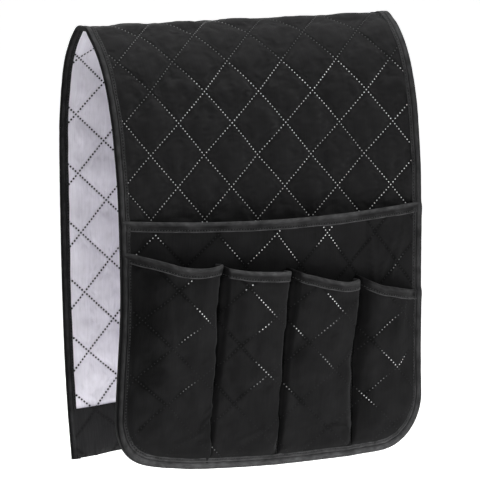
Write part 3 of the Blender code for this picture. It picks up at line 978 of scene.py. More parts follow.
def face_tones(u, v):
    crown = stepped(u, *CROWN_TONE)
    front = rise(v, stepped(u, *BRIGHT_START), BRIGHT_REACH)
    return dot_tones(u, v, 31, 0.55, 1.05) * (crown + (1 - crown) * front) * stepped(u, *LEFT_TONE)


def rear_tones(u, v):
    return dot_tones(u, v, 33, 0.3, 0.9) * stepped(-v, *REAR_TONE)


def lining_tones(u, v):
    return dot_tones(u, v, 34, 0.0, 0.6)


def facing_tones(u, v):
    return dot_tones(u, v, 35, 0.005, 0.03)


# Painted shade: the lining's colour is darker where it lies under the arch
ARCH_DIM = 0.6
ARCH_DIM_REACH = 0.08
ARCH_DIM_FADE = 0.10
# Welds stay this far clear of the tape
WELD_CLEAR = 0.0004


def make_strip():
    """The quilted faces, the lining and the facing, with their welds."""
    pieces = {}
    plans = (
        ("front_quilted_face", 0.0, FRONT_END, face_surface, BLACK_FACE, face_tones),
        ("rear_quilted_face", REAR_SPLIT, 0.0, face_surface, BLACK_FACE, rear_tones),
        ("hem_quilted_face", REAR_END, REAR_SPLIT, face_surface, BLACK_FACE, rear_tones),
        ("front_inner_lining", 0.0, FRONT_END, lining_surface, GREY_LINING, lining_tones),
        ("rear_inner_lining", REAR_SPLIT, 0.0, lining_surface, GREY_LINING, lining_tones),
        ("hem_inner_lining", LINING_END, REAR_SPLIT, lining_surface, GREY_LINING, lining_tones),
        ("hem_inner_facing", REAR_END, HEM_FOLD, facing_surface, BLACK_FACING, facing_tones),
    )
    for name, low, high, surface, material, tones in plans:
        box = (-HALF_WIDTH, HALF_WIDTH, low, high)
        clamp = clamp_front if high == FRONT_END else clamp_band(low, high)
        cloth = quilted_sheet(STRIP_QUILTING, box, clamp, surface, -1 if "inner" in name else 1)
        weld, dot, lap = PALE_WELD, DOT, EDGE_LAP
        if material == GREY_LINING:
            weld, dot, lap = DARK_WELD, LINING_DOT, LINING_LAP
            # Painted shade on the lining under the arch
            past_arch = rise(np.abs(cloth.flat[:, 1]), ARCH_DIM_REACH, ARCH_DIM_FADE)
            cloth.crease = cloth.crease + ARCH_DIM * (1 - past_arch)
        pieces[name] = cloth.make(name, material)
        if material == BLACK_FACING:
            thicken(pieces[name], FACING_THICK - FACING_CLEAR)
        u, v = weld_places(STRIP_QUILTING, box)
        clear = from_edge(u, v) > lap + WELD_CLEAR
        spots = cloth.spots(zip(u[clear], v[clear]))
        welds = f"{name}_welds"
        pieces[welds] = merged(welds, spots, dot, tones(spots[:, 0], spots[:, 1]), weld)
    return pieces


STRIP = make_strip()

# Pocket panels. Their edges are caught under the edge tape, a little inside the strip's cloth.
CAUGHT_EDGE = 0.0085
CAUGHT_FADE = 0.006
LARGE_SINK = 0.0010
SMALL_SINK = 0.0021
SEAM_SINK = 0.0008
LARGE_REACH = HALF_WIDTH - CLOTH_INSET - 0.0008
SMALL_INSET = CLOTH_INSET + 0.0012
LARGE_PUFF = (0.0010, 0.0005)
SMALL_PUFF = (0.0010, 0.0004)


def round_foot(x, inset):
    """The foot of the front flap's outline at x, drawn in by an inset."""
    radius = CORNER_RADIUS - inset
    past = np.clip(np.abs(x) - CORNER_X, 0.0, radius)
    return FRONT_END - CORNER_RADIUS + np.sqrt(radius**2 - past**2)


def settle(x, s):
    """1 where a panel is caught under the edge tape, 0 inside."""
    return 1 - rise(edge_distance(x, s), CAUGHT_EDGE, CAUGHT_FADE)


def large_height(x, s):
    """How far the large pocket's outer face stands over the flap's face."""
    down = (s - large_mouth(x)) / np.maximum(round_foot(x, PANEL_INSET) - large_mouth(x), 1e-6)
    open_share = 1 - np.clip(down, 0.0, 1.0) ** LARGE_CLOSING
    across = np.clip(1 - (x / PANEL_HALF) ** 2, 0.0, 1.0)
    return TAPED_REST + PANEL_THICK + LARGE_GAPE * across * open_share**2


def divider(number):
    return -PANEL_HALF + 2 * PANEL_HALF * (0.0, *DIVIDER_SHARES, 1.0)[number]


def small_top(x):
    share = (x + PANEL_HALF) / (2 * PANEL_HALF)
    drop = SMALL_DROP_LEFT + (SMALL_DROP_RIGHT - SMALL_DROP_LEFT) * share
    return FRONT_END - LARGE_POCKET_HEIGHT + drop


def pleat_half(number, down):
    mouth, foot = PLEAT_MOUTH_WIDTHS[number - 1] / 2, PLEAT_FOOT_WIDTH / 2
    return foot + (mouth - foot) * (1 - down) ** SMALL_CLOSING


def ridges(x, s, table):
    """Creases and soft ridges, each from one place to another with a half width and a height."""
    total = np.zeros(np.broadcast(x, s).shape)
    for x0, s0, x1, s1, width, height in table:
        way_x, way_s = x1 - x0, s1 - s0
        length = math.hypot(way_x, way_s)
        along = ((x - x0) * way_x + (s - s0) * way_s) / length**2
        off = ((x - x0) * way_s - (s - s0) * way_x) / length
        fade = rise(along, -0.15, 0.3) * rise(1.15 - along, 0.0, 0.3)
        total = total + height * fade * hill(off, 0.0, width)
    return total


LARGE_CROSSING = (-0.0037, 0.2126)
LARGE_QUILTING = even_quilting(*LARGE_CROSSING).stretch(
    (LARGE_CROSSING[0] - 2 * SQUARE_WIDTH, LARGE_CROSSING[0], LARGE_CROSSING[0] + SQUARE_WIDTH),
    (-0.1260, LARGE_CROSSING[0], 0.0509),
)
LARGE_RIDGES = (
    (0.098, 0.210, 0.105, 0.268, 0.0030, 0.0024),
    (0.128, 0.222, 0.110, 0.262, 0.0030, 0.0020),
    (0.139, 0.216, 0.124, 0.262, 0.0028, 0.0016),
    (-0.150, 0.226, -0.134, 0.208, 0.0022, -0.0012),
    (-0.045, 0.232, -0.010, 0.222, 0.0060, 0.0008),
)
LARGE_SOFT = (0.0008, 0.035, 1.0, 7, 41)
LARGE_FINE = (0.0003, 0.010, 1.0, 6, 42)
SMALL_RIDGES = (
    (
        (-0.086, 0.280, -0.081, 0.375, 0.0080, 0.0020),
        (-0.073, 0.373, -0.060, 0.361, 0.0016, 0.0009),
        (-0.074, 0.383, -0.060, 0.370, 0.0016, 0.0009),
        (-0.118, 0.262, -0.106, 0.330, 0.0030, 0.0008),
        (-0.150, 0.380, -0.120, 0.400, 0.0035, 0.0007),
        (-0.100, 0.402, -0.066, 0.386, 0.0030, 0.0008),
    ),
    (
        (-0.022, 0.296, -0.018, 0.345, 0.0070, 0.0014),
        (-0.012, 0.352, -0.008, 0.396, 0.0070, 0.0012),
        (-0.040, 0.400, -0.012, 0.388, 0.0030, 0.0009),
        (-0.013, 0.333, -0.002, 0.342, 0.0018, 0.0008),
    ),
    (
        (0.0650, 0.282, 0.0480, 0.340, 0.0090, 0.0018),
        (0.0480, 0.340, 0.0530, 0.385, 0.0080, 0.0012),
        (0.0600, 0.392, 0.0750, 0.394, 0.0022, 0.0013),
        (0.0750, 0.394, 0.0830, 0.416, 0.0026, 0.0012),
        (0.0560, 0.400, 0.0660, 0.412, 0.0018, 0.0009),
        (0.0700, 0.330, 0.0790, 0.318, 0.0018, 0.0009),
        (0.0250, 0.412, 0.0420, 0.404, 0.0022, 0.0008),
    ),
    (
        (0.1320, 0.280, 0.1160, 0.318, 0.0090, 0.0018),
        (0.1160, 0.318, 0.1110, 0.384, 0.0090, 0.0016),
        (0.1110, 0.384, 0.0960, 0.404, 0.0070, 0.0018),
    ),
)


def large_surface(x, s):
    height, sunk = LARGE_PUFF
    relief = height * puffs(*LARGE_QUILTING.squares(x, s)) - sunk
    relief = relief + crumples(LARGE_SOFT, x, s) + crumples(LARGE_FINE, x, s) + ridges(x, s, LARGE_RIDGES)
    fade = rise(edge_distance(x, s), 0.010, 0.010) * rise(s - large_mouth(x), 0.008, 0.008)
    return place(x, s, large_height(x, s) - settle(x, s) * LARGE_SINK + fade * relief)


def clamp_panel(x, s):
    x, s = clamp_front(x, s)
    x = np.clip(x, -LARGE_REACH, LARGE_REACH)
    return x, np.maximum(s, large_mouth(x))


POCKET_CELL = 0.0013
# The small pockets' cloth lies across, so its squares are wide and low
SMALL_SQUARE_WIDTH = 0.0645
SMALL_ROW_HEIGHT = 0.0532
SMALL_CROSSINGS = ((-0.0775, 0.2850), (-0.0095, 0.2855), (0.0622, 0.2870), (0.1233, 0.3430))
SMALL_QUILTINGS = [even_quilting(u, v, SMALL_SQUARE_WIDTH, SMALL_ROW_HEIGHT) for u, v in SMALL_CROSSINGS]
# A small pocket's left side rises steeply out of its seam, and its right side ends in a sharp fold.
# For each pocket: the rise's width at the mouth and lower down, how square it is, and the mouth's lift
SWELL_MOUTHS = (0.0, 0.0032, 0.0140, 0.0240)
SWELL_SIDES = (0.0, 0.0085, 0.0090, 0.0200)
SWELL_POWERS = (2.0, 2.5, 2.5, 2.0)
SWELL_LIFTS = (0.0, 0.0012, 0.0035, 0.0070)
# How far each right fold strays to the side on its way down
FOLD_DOWN = (0.0, 0.15, 0.42, 0.69, 0.90, 1.0)
FOLD_SHIFTS = (
    (0.0014, -0.0009, -0.0002, 0.0029, 0.0039, 0.0039),
    (0.0038, 0.0016, 0.0014, 0.0032, 0.0010, -0.0045),
    (0.0053, 0.0039, 0.0009, -0.0055, -0.0048, -0.0023),
)
# How far each mouth strays up or down, from the pocket's left side to its right side
MOUTH_SHARES = (0.0, 0.25, 0.5, 0.75, 1.0)
MOUTH_SHIFTS = (
    (-0.0021, -0.0024, -0.0008, -0.0008, -0.0026),
    (0.0, -0.0002, -0.0015, -0.0028, -0.0036),
    (-0.0030, -0.0038, -0.0025, -0.0015, -0.0036),
    (0.0, -0.0006, -0.0008, 0.0, 0.0006),
)
FOLD_ROLLS = (0.0030, 0.0024, 0.0026, 0.0)
FOLD_ROLL_REACH = 0.012
FOLD_WAVE = 0.0011
FOLD_WAVE_LENGTH = 0.009
FOLD_WAVE_SEED = 44
WALL_COLUMNS = 16
WALL_BOW = 0.0020
# Columns of points stand closer together beside a seam
COLUMN_CROWDING = 1.6
ROUNDING_PASSES = 2


def seam_height(x, s, caught):
    return large_height(x, s) + SEAM_ROOT_GAP - caught * SEAM_SINK


def small_grid(pocket):
    """Rows of points x, s and height for a small pocket, from its left seam to its right one."""
    left, right = divider(pocket), divider(pocket + 1)
    left_pleat, right_pleat = pocket > 0, pocket < POCKETS - 1
    span = right - left
    share = np.linspace(0.0, 1.0, round(span / POCKET_CELL) + 1)[None, :]
    if left_pleat:
        share = share**COLUMN_CROWDING
    t = np.linspace(0.0, 1.0, round((FRONT_END - small_top(left)) / POCKET_CELL) + 1)[:, None]

    def front_x(down, wave):
        start = left + SEAM_GAP / 2 if left_pleat else SMALL_INSET - HALF_WIDTH
        end = HALF_WIDTH - SMALL_INSET
        if right_pleat:
            shift = smooth_line(down, FOLD_DOWN, FOLD_SHIFTS[pocket])
            end = right - pleat_half(pocket + 1, down) + shift + wave
        return start + (end - start) * share

    top_x = front_x(0.0, 0.0)
    inner = np.clip((top_x - left) / span, 0.0, 1.0)
    hump = 4 * inner * (1 - inner)
    mouth = small_top(top_x) + SMALL_MOUTH_SAGS[pocket] * hump
    mouth = mouth + smooth_line(inner, MOUTH_SHARES, MOUTH_SHIFTS[pocket])
    stand = 1.0
    if left_pleat:
        near = 1 - np.clip((top_x - top_x[:, :1]) / SWELL_MOUTHS[pocket], 0.0, 1.0)
        mouth = mouth - SWELL_LIFTS[pocket] * near**1.5
    else:
        stand = np.sin(np.pi / 2 * np.clip(inner / OUTER_RISE_SHARE, 0.0, 1.0))
    if not right_pleat:
        stand = np.sin(np.pi / 2 * np.clip((1 - inner) / OUTER_RISE_SHARE, 0.0, 1.0))
    s = mouth + (round_foot(top_x, SMALL_INSET) - mouth) * t
    down = np.clip((s - mouth) / np.maximum(round_foot(top_x, PANEL_INSET) - mouth, 1e-6), 0.0, 1.0)
    wave = FOLD_WAVE * noise(s[:, -1:] + 3 * pocket, 0.0, FOLD_WAVE_LENGTH, FOLD_WAVE_SEED)
    x = np.broadcast_to(front_x(down, wave), s.shape)
    opened = (1 - down) ** SMALL_CLOSING
    caught = settle(x, s)
    gape = (SMALL_GAPES[pocket] + SMALL_CROWNS[pocket] * hump) * stand * opened
    foot = PLEAT_FOOT_DEPTH * stand * (2 * inner - 1) ** 2 * (1 - caught)
    height = large_height(x, s) + TAPED_REST + POCKET_THICK - caught * SMALL_SINK + gape + foot
    if right_pleat:
        off = np.clip(1 - (x[:, -1:] - x) / FOLD_ROLL_REACH, 0.0, 1.0)
        height = height - FOLD_ROLLS[pocket] * off**2 * opened
    if left_pleat:
        swell = SWELL_SIDES[pocket] + (SWELL_MOUTHS[pocket] - SWELL_SIDES[pocket]) * (1 - down) ** 6
        past = 1 - np.clip((x - x[:, :1]) / swell, 0.0, 1.0)
        power = SWELL_POWERS[pocket]
        root = seam_height(x, s, caught)
        height = root + (height - root) * (1 - past**power) ** (1 / power)
    if not right_pleat:
        return x, s, height
    return fold_back(x, s, height, right - SEAM_GAP / 2, caught[:, -1:], opened[:, -1:])


def fold_back(x, s, height, seam, caught, opened):
    """Adds the side wall that runs from the right fold back to the seam."""
    seam_x, seam_s = np.full_like(x[:, :1], seam), s[:, -1:]
    root = seam_height(seam_x, seam_s, caught)
    out = 1 - (np.arange(WALL_COLUMNS)[None, :] + 1) / WALL_COLUMNS
    wall_x = seam_x + (x[:, -1:] - seam_x) * out + WALL_BOW * np.sin(np.pi * out) * opened
    walls = (wall_x, np.repeat(seam_s, WALL_COLUMNS, 1), root + (height[:, -1:] - root) * out)
    return [np.concatenate(pair, 1) for pair in zip((x, s, height), walls)]


def rounded_rows(x, s, height):
    """Evens out each row's spacing and rounds its sharp folds."""
    grid = np.stack([x, s, height], -1)
    for k, row in enumerate(grid):
        run = lengths_along(row[:, [0, 2]])
        grid[k] = resampled(np.linspace(0.0, run[-1], len(row)), run, row)
    for _ in range(ROUNDING_PASSES):
        grid[:, 1:-1] = (grid[:, :-2] + 2 * grid[:, 1:-1] + grid[:, 2:]) / 4
    return grid


# The small pockets' crumples: soft bulges, drag lines, two finer sizes, gathers and sharp creases
SOFT = (0.0011, 0.026, 0.7, 9, 50)
DRAG = (0.0012, 0.013, 0.22, 7, 54)
MEDIUM = (0.00055, 0.011, 0.7, 5, 60)
FINE = (0.00025, 0.0055, 1.0, 6, 64)
GATHERS = (0.0014, 0.0075, 1.0, 8, 68)
CREASES = (1.0, 0.011, 0.8, 11, 74)
CREASE_WIDTH = 0.10
CREASE_HEIGHT = 0.0003
GATHER_REACH = 0.022
# Painted shade in the pleats and on the mouth tapes there: where it starts on the turn inwards, its reach,
# how dark; and painted light in a pleat's deepest part: its start, reach and lift
PLEAT_SHADE = (0.10, 0.30, 0.85)
PLEAT_DEEP = (0.70, 0.30, 0.15)
TAPE_SHADE = (0.25, 0.45, 1.8)
# Painted light and shade: the cloth is painted paler low down, paler towards each pocket's right side and
# darker towards its left, paler on its crumples' tops and darker in their hollows, with random paler and
# darker patches standing in for sheen
FOOT_PAINTED_LIGHT = (0.350, 0.040, 0.35)
SIDE_PAINTED_SHADING = 0.70
RELIEF_PAINTED_SHADING = 0.0016
PAINTED_SHEEN_PATCHES = (0.25, 0.022, 0.6, 3, 70)
# The painted highlight along the right-facing side of each fold
FOLD_HIGHLIGHT = 1.1
FOLD_HIGHLIGHT_WIDTH = 0.0040
FOLD_HIGHLIGHT_START = 0.30
FOLD_HIGHLIGHT_REACH = 0.30
FOLD_HIGHLIGHT_END = 0.96


def small_cloth(pocket):
    """A small pocket's points, their places on the flat cloth, and their painted light and shade."""
    grid = rounded_rows(*small_grid(pocket))
    x, s, height = np.moveaxis(grid, -1, 0)
    steps = np.linalg.norm(np.diff(grid[:, :, [0, 2]], axis=1), axis=2)
    along = np.concatenate((np.zeros((len(grid), 1)), np.cumsum(steps, 1)), 1)
    middle = grid.shape[1] // 2
    u = along - along[:, middle : middle + 1] + (divider(pocket) + divider(pocket + 1)) / 2
    base = place(x, s, height)
    normals = unit(np.cross(np.gradient(base, axis=0), np.gradient(base, axis=1)))
    m, n = SMALL_QUILTINGS[pocket].squares(u, s)
    inner = rise(edge_distance(x, s), 0.010, 0.008)
    top = rise(np.arange(len(grid))[:, None] * POCKET_CELL, 0.007, 0.006)
    fold = x.max(1, keepdims=True)
    gathered = rise(s, FRONT_END - 0.055, 0.02) * (0.25 + 0.75 * hill(x, fold, GATHER_REACH))
    drag = rise(FRONT_END - 0.015 - s, 0.0, 0.045) * crumples(DRAG, u, s, pocket)
    sharp = smooth(1 - np.abs(crumples(CREASES, u, s, pocket)) / CREASE_WIDTH)
    crumpled = crumples(MEDIUM, u, s, pocket) + crumples(FINE, u, s, pocket)
    crumpled = crumpled + ridges(u, s, SMALL_RIDGES[pocket]) + 0.5 * drag
    crumpled = crumpled + gathered * np.maximum(crumples(GATHERS, u, s, pocket), 0.0)
    crumpled = crumpled + CREASE_HEIGHT * sharp * (0.3 + 0.7 * gathered)
    puff_height, sunk = SMALL_PUFF
    relief = puff_height * puffs(m, n) - sunk + crumples(SOFT, u, s, pocket) + crumpled + 0.5 * drag
    points = base + normals * (relief * inner * top)[..., None]
    # Painted shade where the cloth turns into a pleat, and painted light lifted into its deepest part
    start, reach, dark = PLEAT_SHADE
    deep_start, deep_reach, deep_lift = PLEAT_DEEP
    inward = -normals[..., 0] * (pocket > 0)
    deep = rise(inward, deep_start, deep_reach)
    shaded = dark * rise(inward, start, reach) * (1 - deep)
    # Painted highlight on the fold's right-facing side
    turned = rise(normals[..., 0], FOLD_HIGHLIGHT_START, FOLD_HIGHLIGHT_REACH) * (normals[..., 0] < FOLD_HIGHLIGHT_END)
    painted_highlight = hill(x, fold, FOLD_HIGHLIGHT_WIDTH) * turned * (pocket < POCKETS - 1) * inner
    share = np.linspace(0.0, 1.0, grid.shape[1])[None, :]
    # Painted light and shade: paler low down, towards the right side and on crumple tops, darker in hollows
    # and towards the left
    painted_lighting = stepped(s, 0.0, (FOOT_PAINTED_LIGHT,)) + SIDE_PAINTED_SHADING * (smooth(share / 0.8) - 0.5)
    painted_lighting = painted_lighting + np.clip(crumpled / RELIEF_PAINTED_SHADING, -0.4, 0.5) + crumples(PAINTED_SHEEN_PATCHES, u, s)
    crease = np.maximum(line_nearness(m, n, 0.06) * inner - painted_lighting * (1 - shaded), shaded)
    crease = np.clip(crease - FOLD_HIGHLIGHT * painted_highlight - deep_lift * deep, -1, 1)
    return points, np.stack([u, s], -1), crease


# An edge tape's section: how far inside the edge and how high over the cloth, from its inner edge outwards
EDGE_SECTION = (
    (1.00, -0.0004), (1.02, 0.0002), (0.985, 0.00050), (0.94, 0.00058), (0.89, 0.00050), (0.85, 0.00024),
    (0.81, 0.00018), (0.77, 0.00034), (0.72, 0.00058), (0.67, 0.00060), (0.62, 0.00042), (0.585, 0.00012),
    (0.555, 0.00020), (0.50, 0.00070), (0.40, 0.00105), (0.29, 0.00118), (0.18, 0.00112), (0.09, 0.00090),
    (0.01, 0.00045), (-0.04, -0.00010), (-0.065, -0.00080),
)
EDGE_MIDDLE = -0.074
EDGE_STITCH_COLUMN = 5
# Along an edge tape: painted shade where it is sunk and painted highlights on its ridges, as shares, widths
# and strengths
EDGE_GROOVES = ((0.83, 0.04, 1.0), (0.58, 0.04, 1.0), (0.0, 0.06, 1.0))
EDGE_HIGHLIGHTS = ((0.36, 0.16, 1.0), (0.70, 0.05, 0.8), (0.96, 0.04, 0.7))
EDGE_WOBBLE = 0.045
EDGE_PUCKER = 0.00016
# Painted highlights on the side tapes are this share of the hem tape's, and the hem tape gets painted light
# from below
SIDE_HIGHLIGHT_SHARE = 0.55
HEM_PAINTED_LIGHT = 1.3
EDGE_SEED = 61
# The tape's own line lies this far inside the outline
TAPE_SET = 0.0008
CORNER_STEPS = 52
HEM_TAPE_PAST = 0.0006
# How the layers caught under the edge tape lift it
PANEL_LIFT = 0.0010
POCKET_LIFT = 0.0008
MOUTH_LIFT = 0.0007
SEAM_LIFT = 0.0008
# The tape down the left edge is duller low on the front
LEFT_DULL = 0.55
LEFT_DULL_TOP = 0.19
LEFT_DULL_REACH = 0.06


def hills(value, table):
    """Hills added up: the centre, width and strength of each."""
    return sum(strength * hill(value, centre, width) for centre, width, strength in table)


def edge_ring():
    """An edge tape's section from its outer side, round the edge, to the lining side."""
    shares, heights = np.array(EDGE_SECTION).T
    outer = np.stack([shares * EDGE_LAP, heights], -1)
    inner = np.stack([shares * np.where(shares > 0, LINING_LAP, EDGE_LAP), -EDGE_STACK - heights], -1)
    middle = [(EDGE_MIDDLE * EDGE_LAP, -EDGE_STACK / 2)]
    ring = np.concatenate([outer, middle, inner[::-1]])
    return ring, np.concatenate([shares, [EDGE_MIDDLE], shares[::-1]])


def tape_rest(x, s):
    """How far the layers caught under the edge tape lift it."""
    on_panel = np.clip(x, -PANEL_HALF, PANEL_HALF)
    lift = 0.0
    for edge, height in ((large_mouth(on_panel), PANEL_LIFT), (small_top(on_panel), POCKET_LIFT)):
        lift = lift + height * rise(s, edge - 0.002, 0.005) + MOUTH_LIFT * hill(s, edge + 0.0045, 0.005)
    foot = rise(s, FRONT_END - 0.030, 0.02)
    for number in range(1, POCKETS):
        lift = lift + SEAM_LIFT * foot * hill(x, divider(number), 0.006)
    return np.where(s > 0, lift, 0.0)


def tape_sheet(path, seed):
    """An edge tape along a path on the strip: places x and s, and the inward direction there."""
    path_x, path_s, in_x, in_s = path
    ring, shares = edge_ring()
    inward, height = ring[:, 0][None, :], ring[:, 1][None, :]
    run = lengths_along(np.stack([path_x, path_s], -1))
    wobble = 1 + EDGE_WOBBLE * noise(path_x * 3 + path_s, path_s - path_x * 2, 0.022, seed)[:, None]
    scale = np.where(inward > 0.003, wobble, 1.0)
    pucker = EDGE_PUCKER * noise((path_s + path_x * 2)[:, None], inward * 2 + 4, 0.0055, seed + 1)
    lifted = height + tape_rest(path_x, path_s)[:, None] + pucker
    full = np.where(height > -EDGE_STACK / 2, lifted, height - pucker * 0.7)
    points = place(
        path_x[:, None] + in_x[:, None] * inward * scale,
        path_s[:, None] + in_s[:, None] * inward * scale,
        full,
    )
    flat = np.stack(np.broadcast_arrays(lengths_along(ring)[None, :], run[:, None]), -1)
    along_hem = smooth(-in_s)[:, None]
    # Painted shade in the grooves, painted highlights on the ridges, and painted light along the hem
    grooves = np.clip(hills(shares, EDGE_GROOVES), 0, 1)[None, :]
    painted_highlight = hills(shares, EDGE_HIGHLIGHTS)[None, :] * (SIDE_HIGHLIGHT_SHARE + (1 - SIDE_HIGHLIGHT_SHARE) * along_hem)
    low_left = (rise(path_s, LEFT_DULL_TOP, LEFT_DULL_REACH) * (path_x < 0))[:, None]
    crease = grooves - painted_highlight - HEM_PAINTED_LIGHT * along_hem + LEFT_DULL * low_left * (1 - along_hem)
    inwards = (path_s[1] - path_s[0]) * in_x[0] > 0
    return grid_sheet(points, flat, np.clip(crease, -2, 1), inwards), points, -1.0 if inwards else 1.0


def stitches(name, points, column, out_sign, seed):
    """A row of stitches along one column of a grid of points."""
    line = points[:, column]
    run = lengths_along(line)
    count = int(run[-1] / STITCH_PITCH)
    at = (np.arange(count) + 0.5) * run[-1] / max(count, 1)
    ways = np.stack([np.interp(at, run, np.gradient(line[:, k], run)) for k in range(3)], -1)
    sides = resampled(at, run, points[:, column + 1] - points[:, column - 1])
    normals = out_sign * unit(np.cross(ways, sides))
    tones = np.random.default_rng(seed).uniform(0.6, 1.3, count)
    spots = np.concatenate([np.zeros((count, 2)), resampled(at, run, line), normals], 1)
    return merged(name, spots, STITCH, tones, BLACK_THREAD, ways)


def front_path():
    """Down the left side from the top, round the bottom and up the right side."""
    down = np.arange(0.0, CORNER_S, TAPE_STEP)
    turns = np.linspace(0.0, np.pi / 2, CORNER_STEPS + 1)
    across = np.arange(-CORNER_X, 0.0, TAPE_STEP)[1:]
    radius = CORNER_RADIUS - TAPE_SET
    cos, sin = np.cos(turns), np.sin(turns)
    corner = (-CORNER_X - radius * cos, CORNER_S + radius * sin, cos, -sin)
    side = np.broadcast_arrays(TAPE_SET - HALF_WIDTH, down, 1.0, 0.0)
    foot = np.broadcast_arrays(across, FRONT_END - TAPE_SET, 0.0, -1.0)
    left = np.concatenate([side, corner, foot], 1)
    return np.concatenate([left, left[:, ::-1] * [[-1.0], [1.0], [-1.0], [1.0]]], 1)


def side_path(side, start, end):
    s = np.linspace(start, end, round(abs(start - end) / TAPE_STEP) + 1)
    return np.broadcast_arrays(side * (HALF_WIDTH - TAPE_SET), s, -float(side), 0.0)


def make_edge_tapes():
    pieces = {}
    plans = [("front_edge_tape", front_path())]
    for side, word in ((-1, "left"), (1, "right")):
        plans.append((f"rear_edge_tape_{word}", side_path(side, 0.0, REAR_SPLIT)))
        plans.append((f"hem_edge_tape_{word}", side_path(side, REAR_SPLIT, REAR_END - HEM_TAPE_PAST)))
    for name, path in plans:
        cloth, points, sign = tape_sheet(path, EDGE_SEED)
        pieces[name] = cloth.make(name, BLACK_TAPE)
        last = points.shape[1] - 1
        for word, column in (("outer", EDGE_STITCH_COLUMN), ("inner", last - EDGE_STITCH_COLUMN)):
            row = f"{name}_{word}_stitches"
            pieces[row] = stitches(row, points, column, sign, EDGE_SEED)
    return pieces


EDGES = make_edge_tapes()

# A mouth tape's section: how far down from the mouth and how high off the cloth
MOUTH_SECTION = (
    (1.00, -0.0002), (1.03, 0.0003), (0.99, 0.00075), (0.94, 0.00085), (0.88, 0.00078), (0.83, 0.00050),
    (0.79, 0.00050), (0.74, 0.00075), (0.60, 0.00088), (0.42, 0.00090), (0.25, 0.00095), (0.10, 0.00095),
    (0.00, 0.00070), (-0.06, 0.00030),
)
MOUTH_MIDDLE = -0.085
MOUTH_STITCH_COLUMN = 6
MOUTH_STEP = 0.0014
# The row of the pocket's points that gives the way down from its mouth
MOUTH_REACH_ROW = 4
# Across a mouth tape: painted shade in two grooves and a painted highlight near its lower edge, as shares,
# widths and strengths
MOUTH_GROOVES = ((0.80, 0.07, 1.2), (0.50, 0.18, 0.7), (0.96, 0.06, -0.9))
MOUTH_WOBBLE = 0.05
MOUTH_PUCKER = 0.00018
MOUTH_PATCHES = 0.6
# How strong the painted highlight is along each mouth tape's top, and how dull each tape is
LARGE_TAPE_HIGHLIGHT = 0.6
SMALL_TAPE_HIGHLIGHTS = (0.30, 1.0, 0.40, -0.1)
SMALL_TAPE_DULLS = (0.10, 0.0, 0.10, 0.30)


def mouth_tape(name, points, thickness, seed, highlight, dull=0.0, pleated=False):
    """Tape folded over the upper edge of a grid of points, with its row of stitches."""
    edge, downs = points[0], unit(points[MOUTH_REACH_ROW] - points[0])
    outs = unit(np.cross(downs, np.gradient(edge, axis=0)))
    run = lengths_along(edge)
    fine = np.linspace(0.0, run[-1], round(run[-1] / MOUTH_STEP) + 1)
    edge = resampled(fine, run, edge)
    downs, outs = unit(resampled(fine, run, downs)), unit(resampled(fine, run, outs))
    outer = np.array(MOUTH_SECTION) * (POCKET_LAP, 1.0)
    inner = (outer * (1.0, -1.0) - (0.0, thickness))[::-1]
    ring = np.concatenate([outer, [(MOUTH_MIDDLE * POCKET_LAP, -thickness / 2)], inner])
    wobble = 1 + MOUTH_WOBBLE * noise(fine, 1.0, 0.014, seed)
    pucker = MOUTH_PUCKER * noise(fine[:, None], ring[None, :, 0] + 2, 0.004, seed)
    inward = ring[None, :, 0] * np.where(ring[None, :, 0] > 0.002, wobble[:, None], 1.0)
    height = ring[None, :, 1] + np.where(ring[None, :, 1] > -thickness / 2, pucker, -pucker)
    grid = edge[:, None] + downs[:, None] * inward[..., None] + outs[:, None] * height[..., None]
    flat = np.stack(np.broadcast_arrays(lengths_along(ring)[None, :], fine[:, None]), -1)
    shares = ring[:, 0] / POCKET_LAP
    lines = hills(shares, (*MOUTH_GROOVES, (0.08, 0.16, -highlight)))[None, :]
    # Painted shade where a pleated pocket's tape turns into the pleat
    start, reach, dark = TAPE_SHADE
    shade = dark * rise(-outs[:, 0], start, reach)[:, None] * pleated
    patches = MOUTH_PATCHES * noise(fine, 6.0, 0.014, seed + 5)[:, None] * hill(shares, 0.4, 0.3)[None, :]
    cloth = grid_sheet(grid, flat, np.clip(lines + patches + shade + dull, -2, 1))
    tape = cloth.make(name, POCKET_TAPE)
    row = stitches(f"{name}_stitches", grid, MOUTH_STITCH_COLUMN, 1.0, seed)
    return {name: tape, row.name: row}


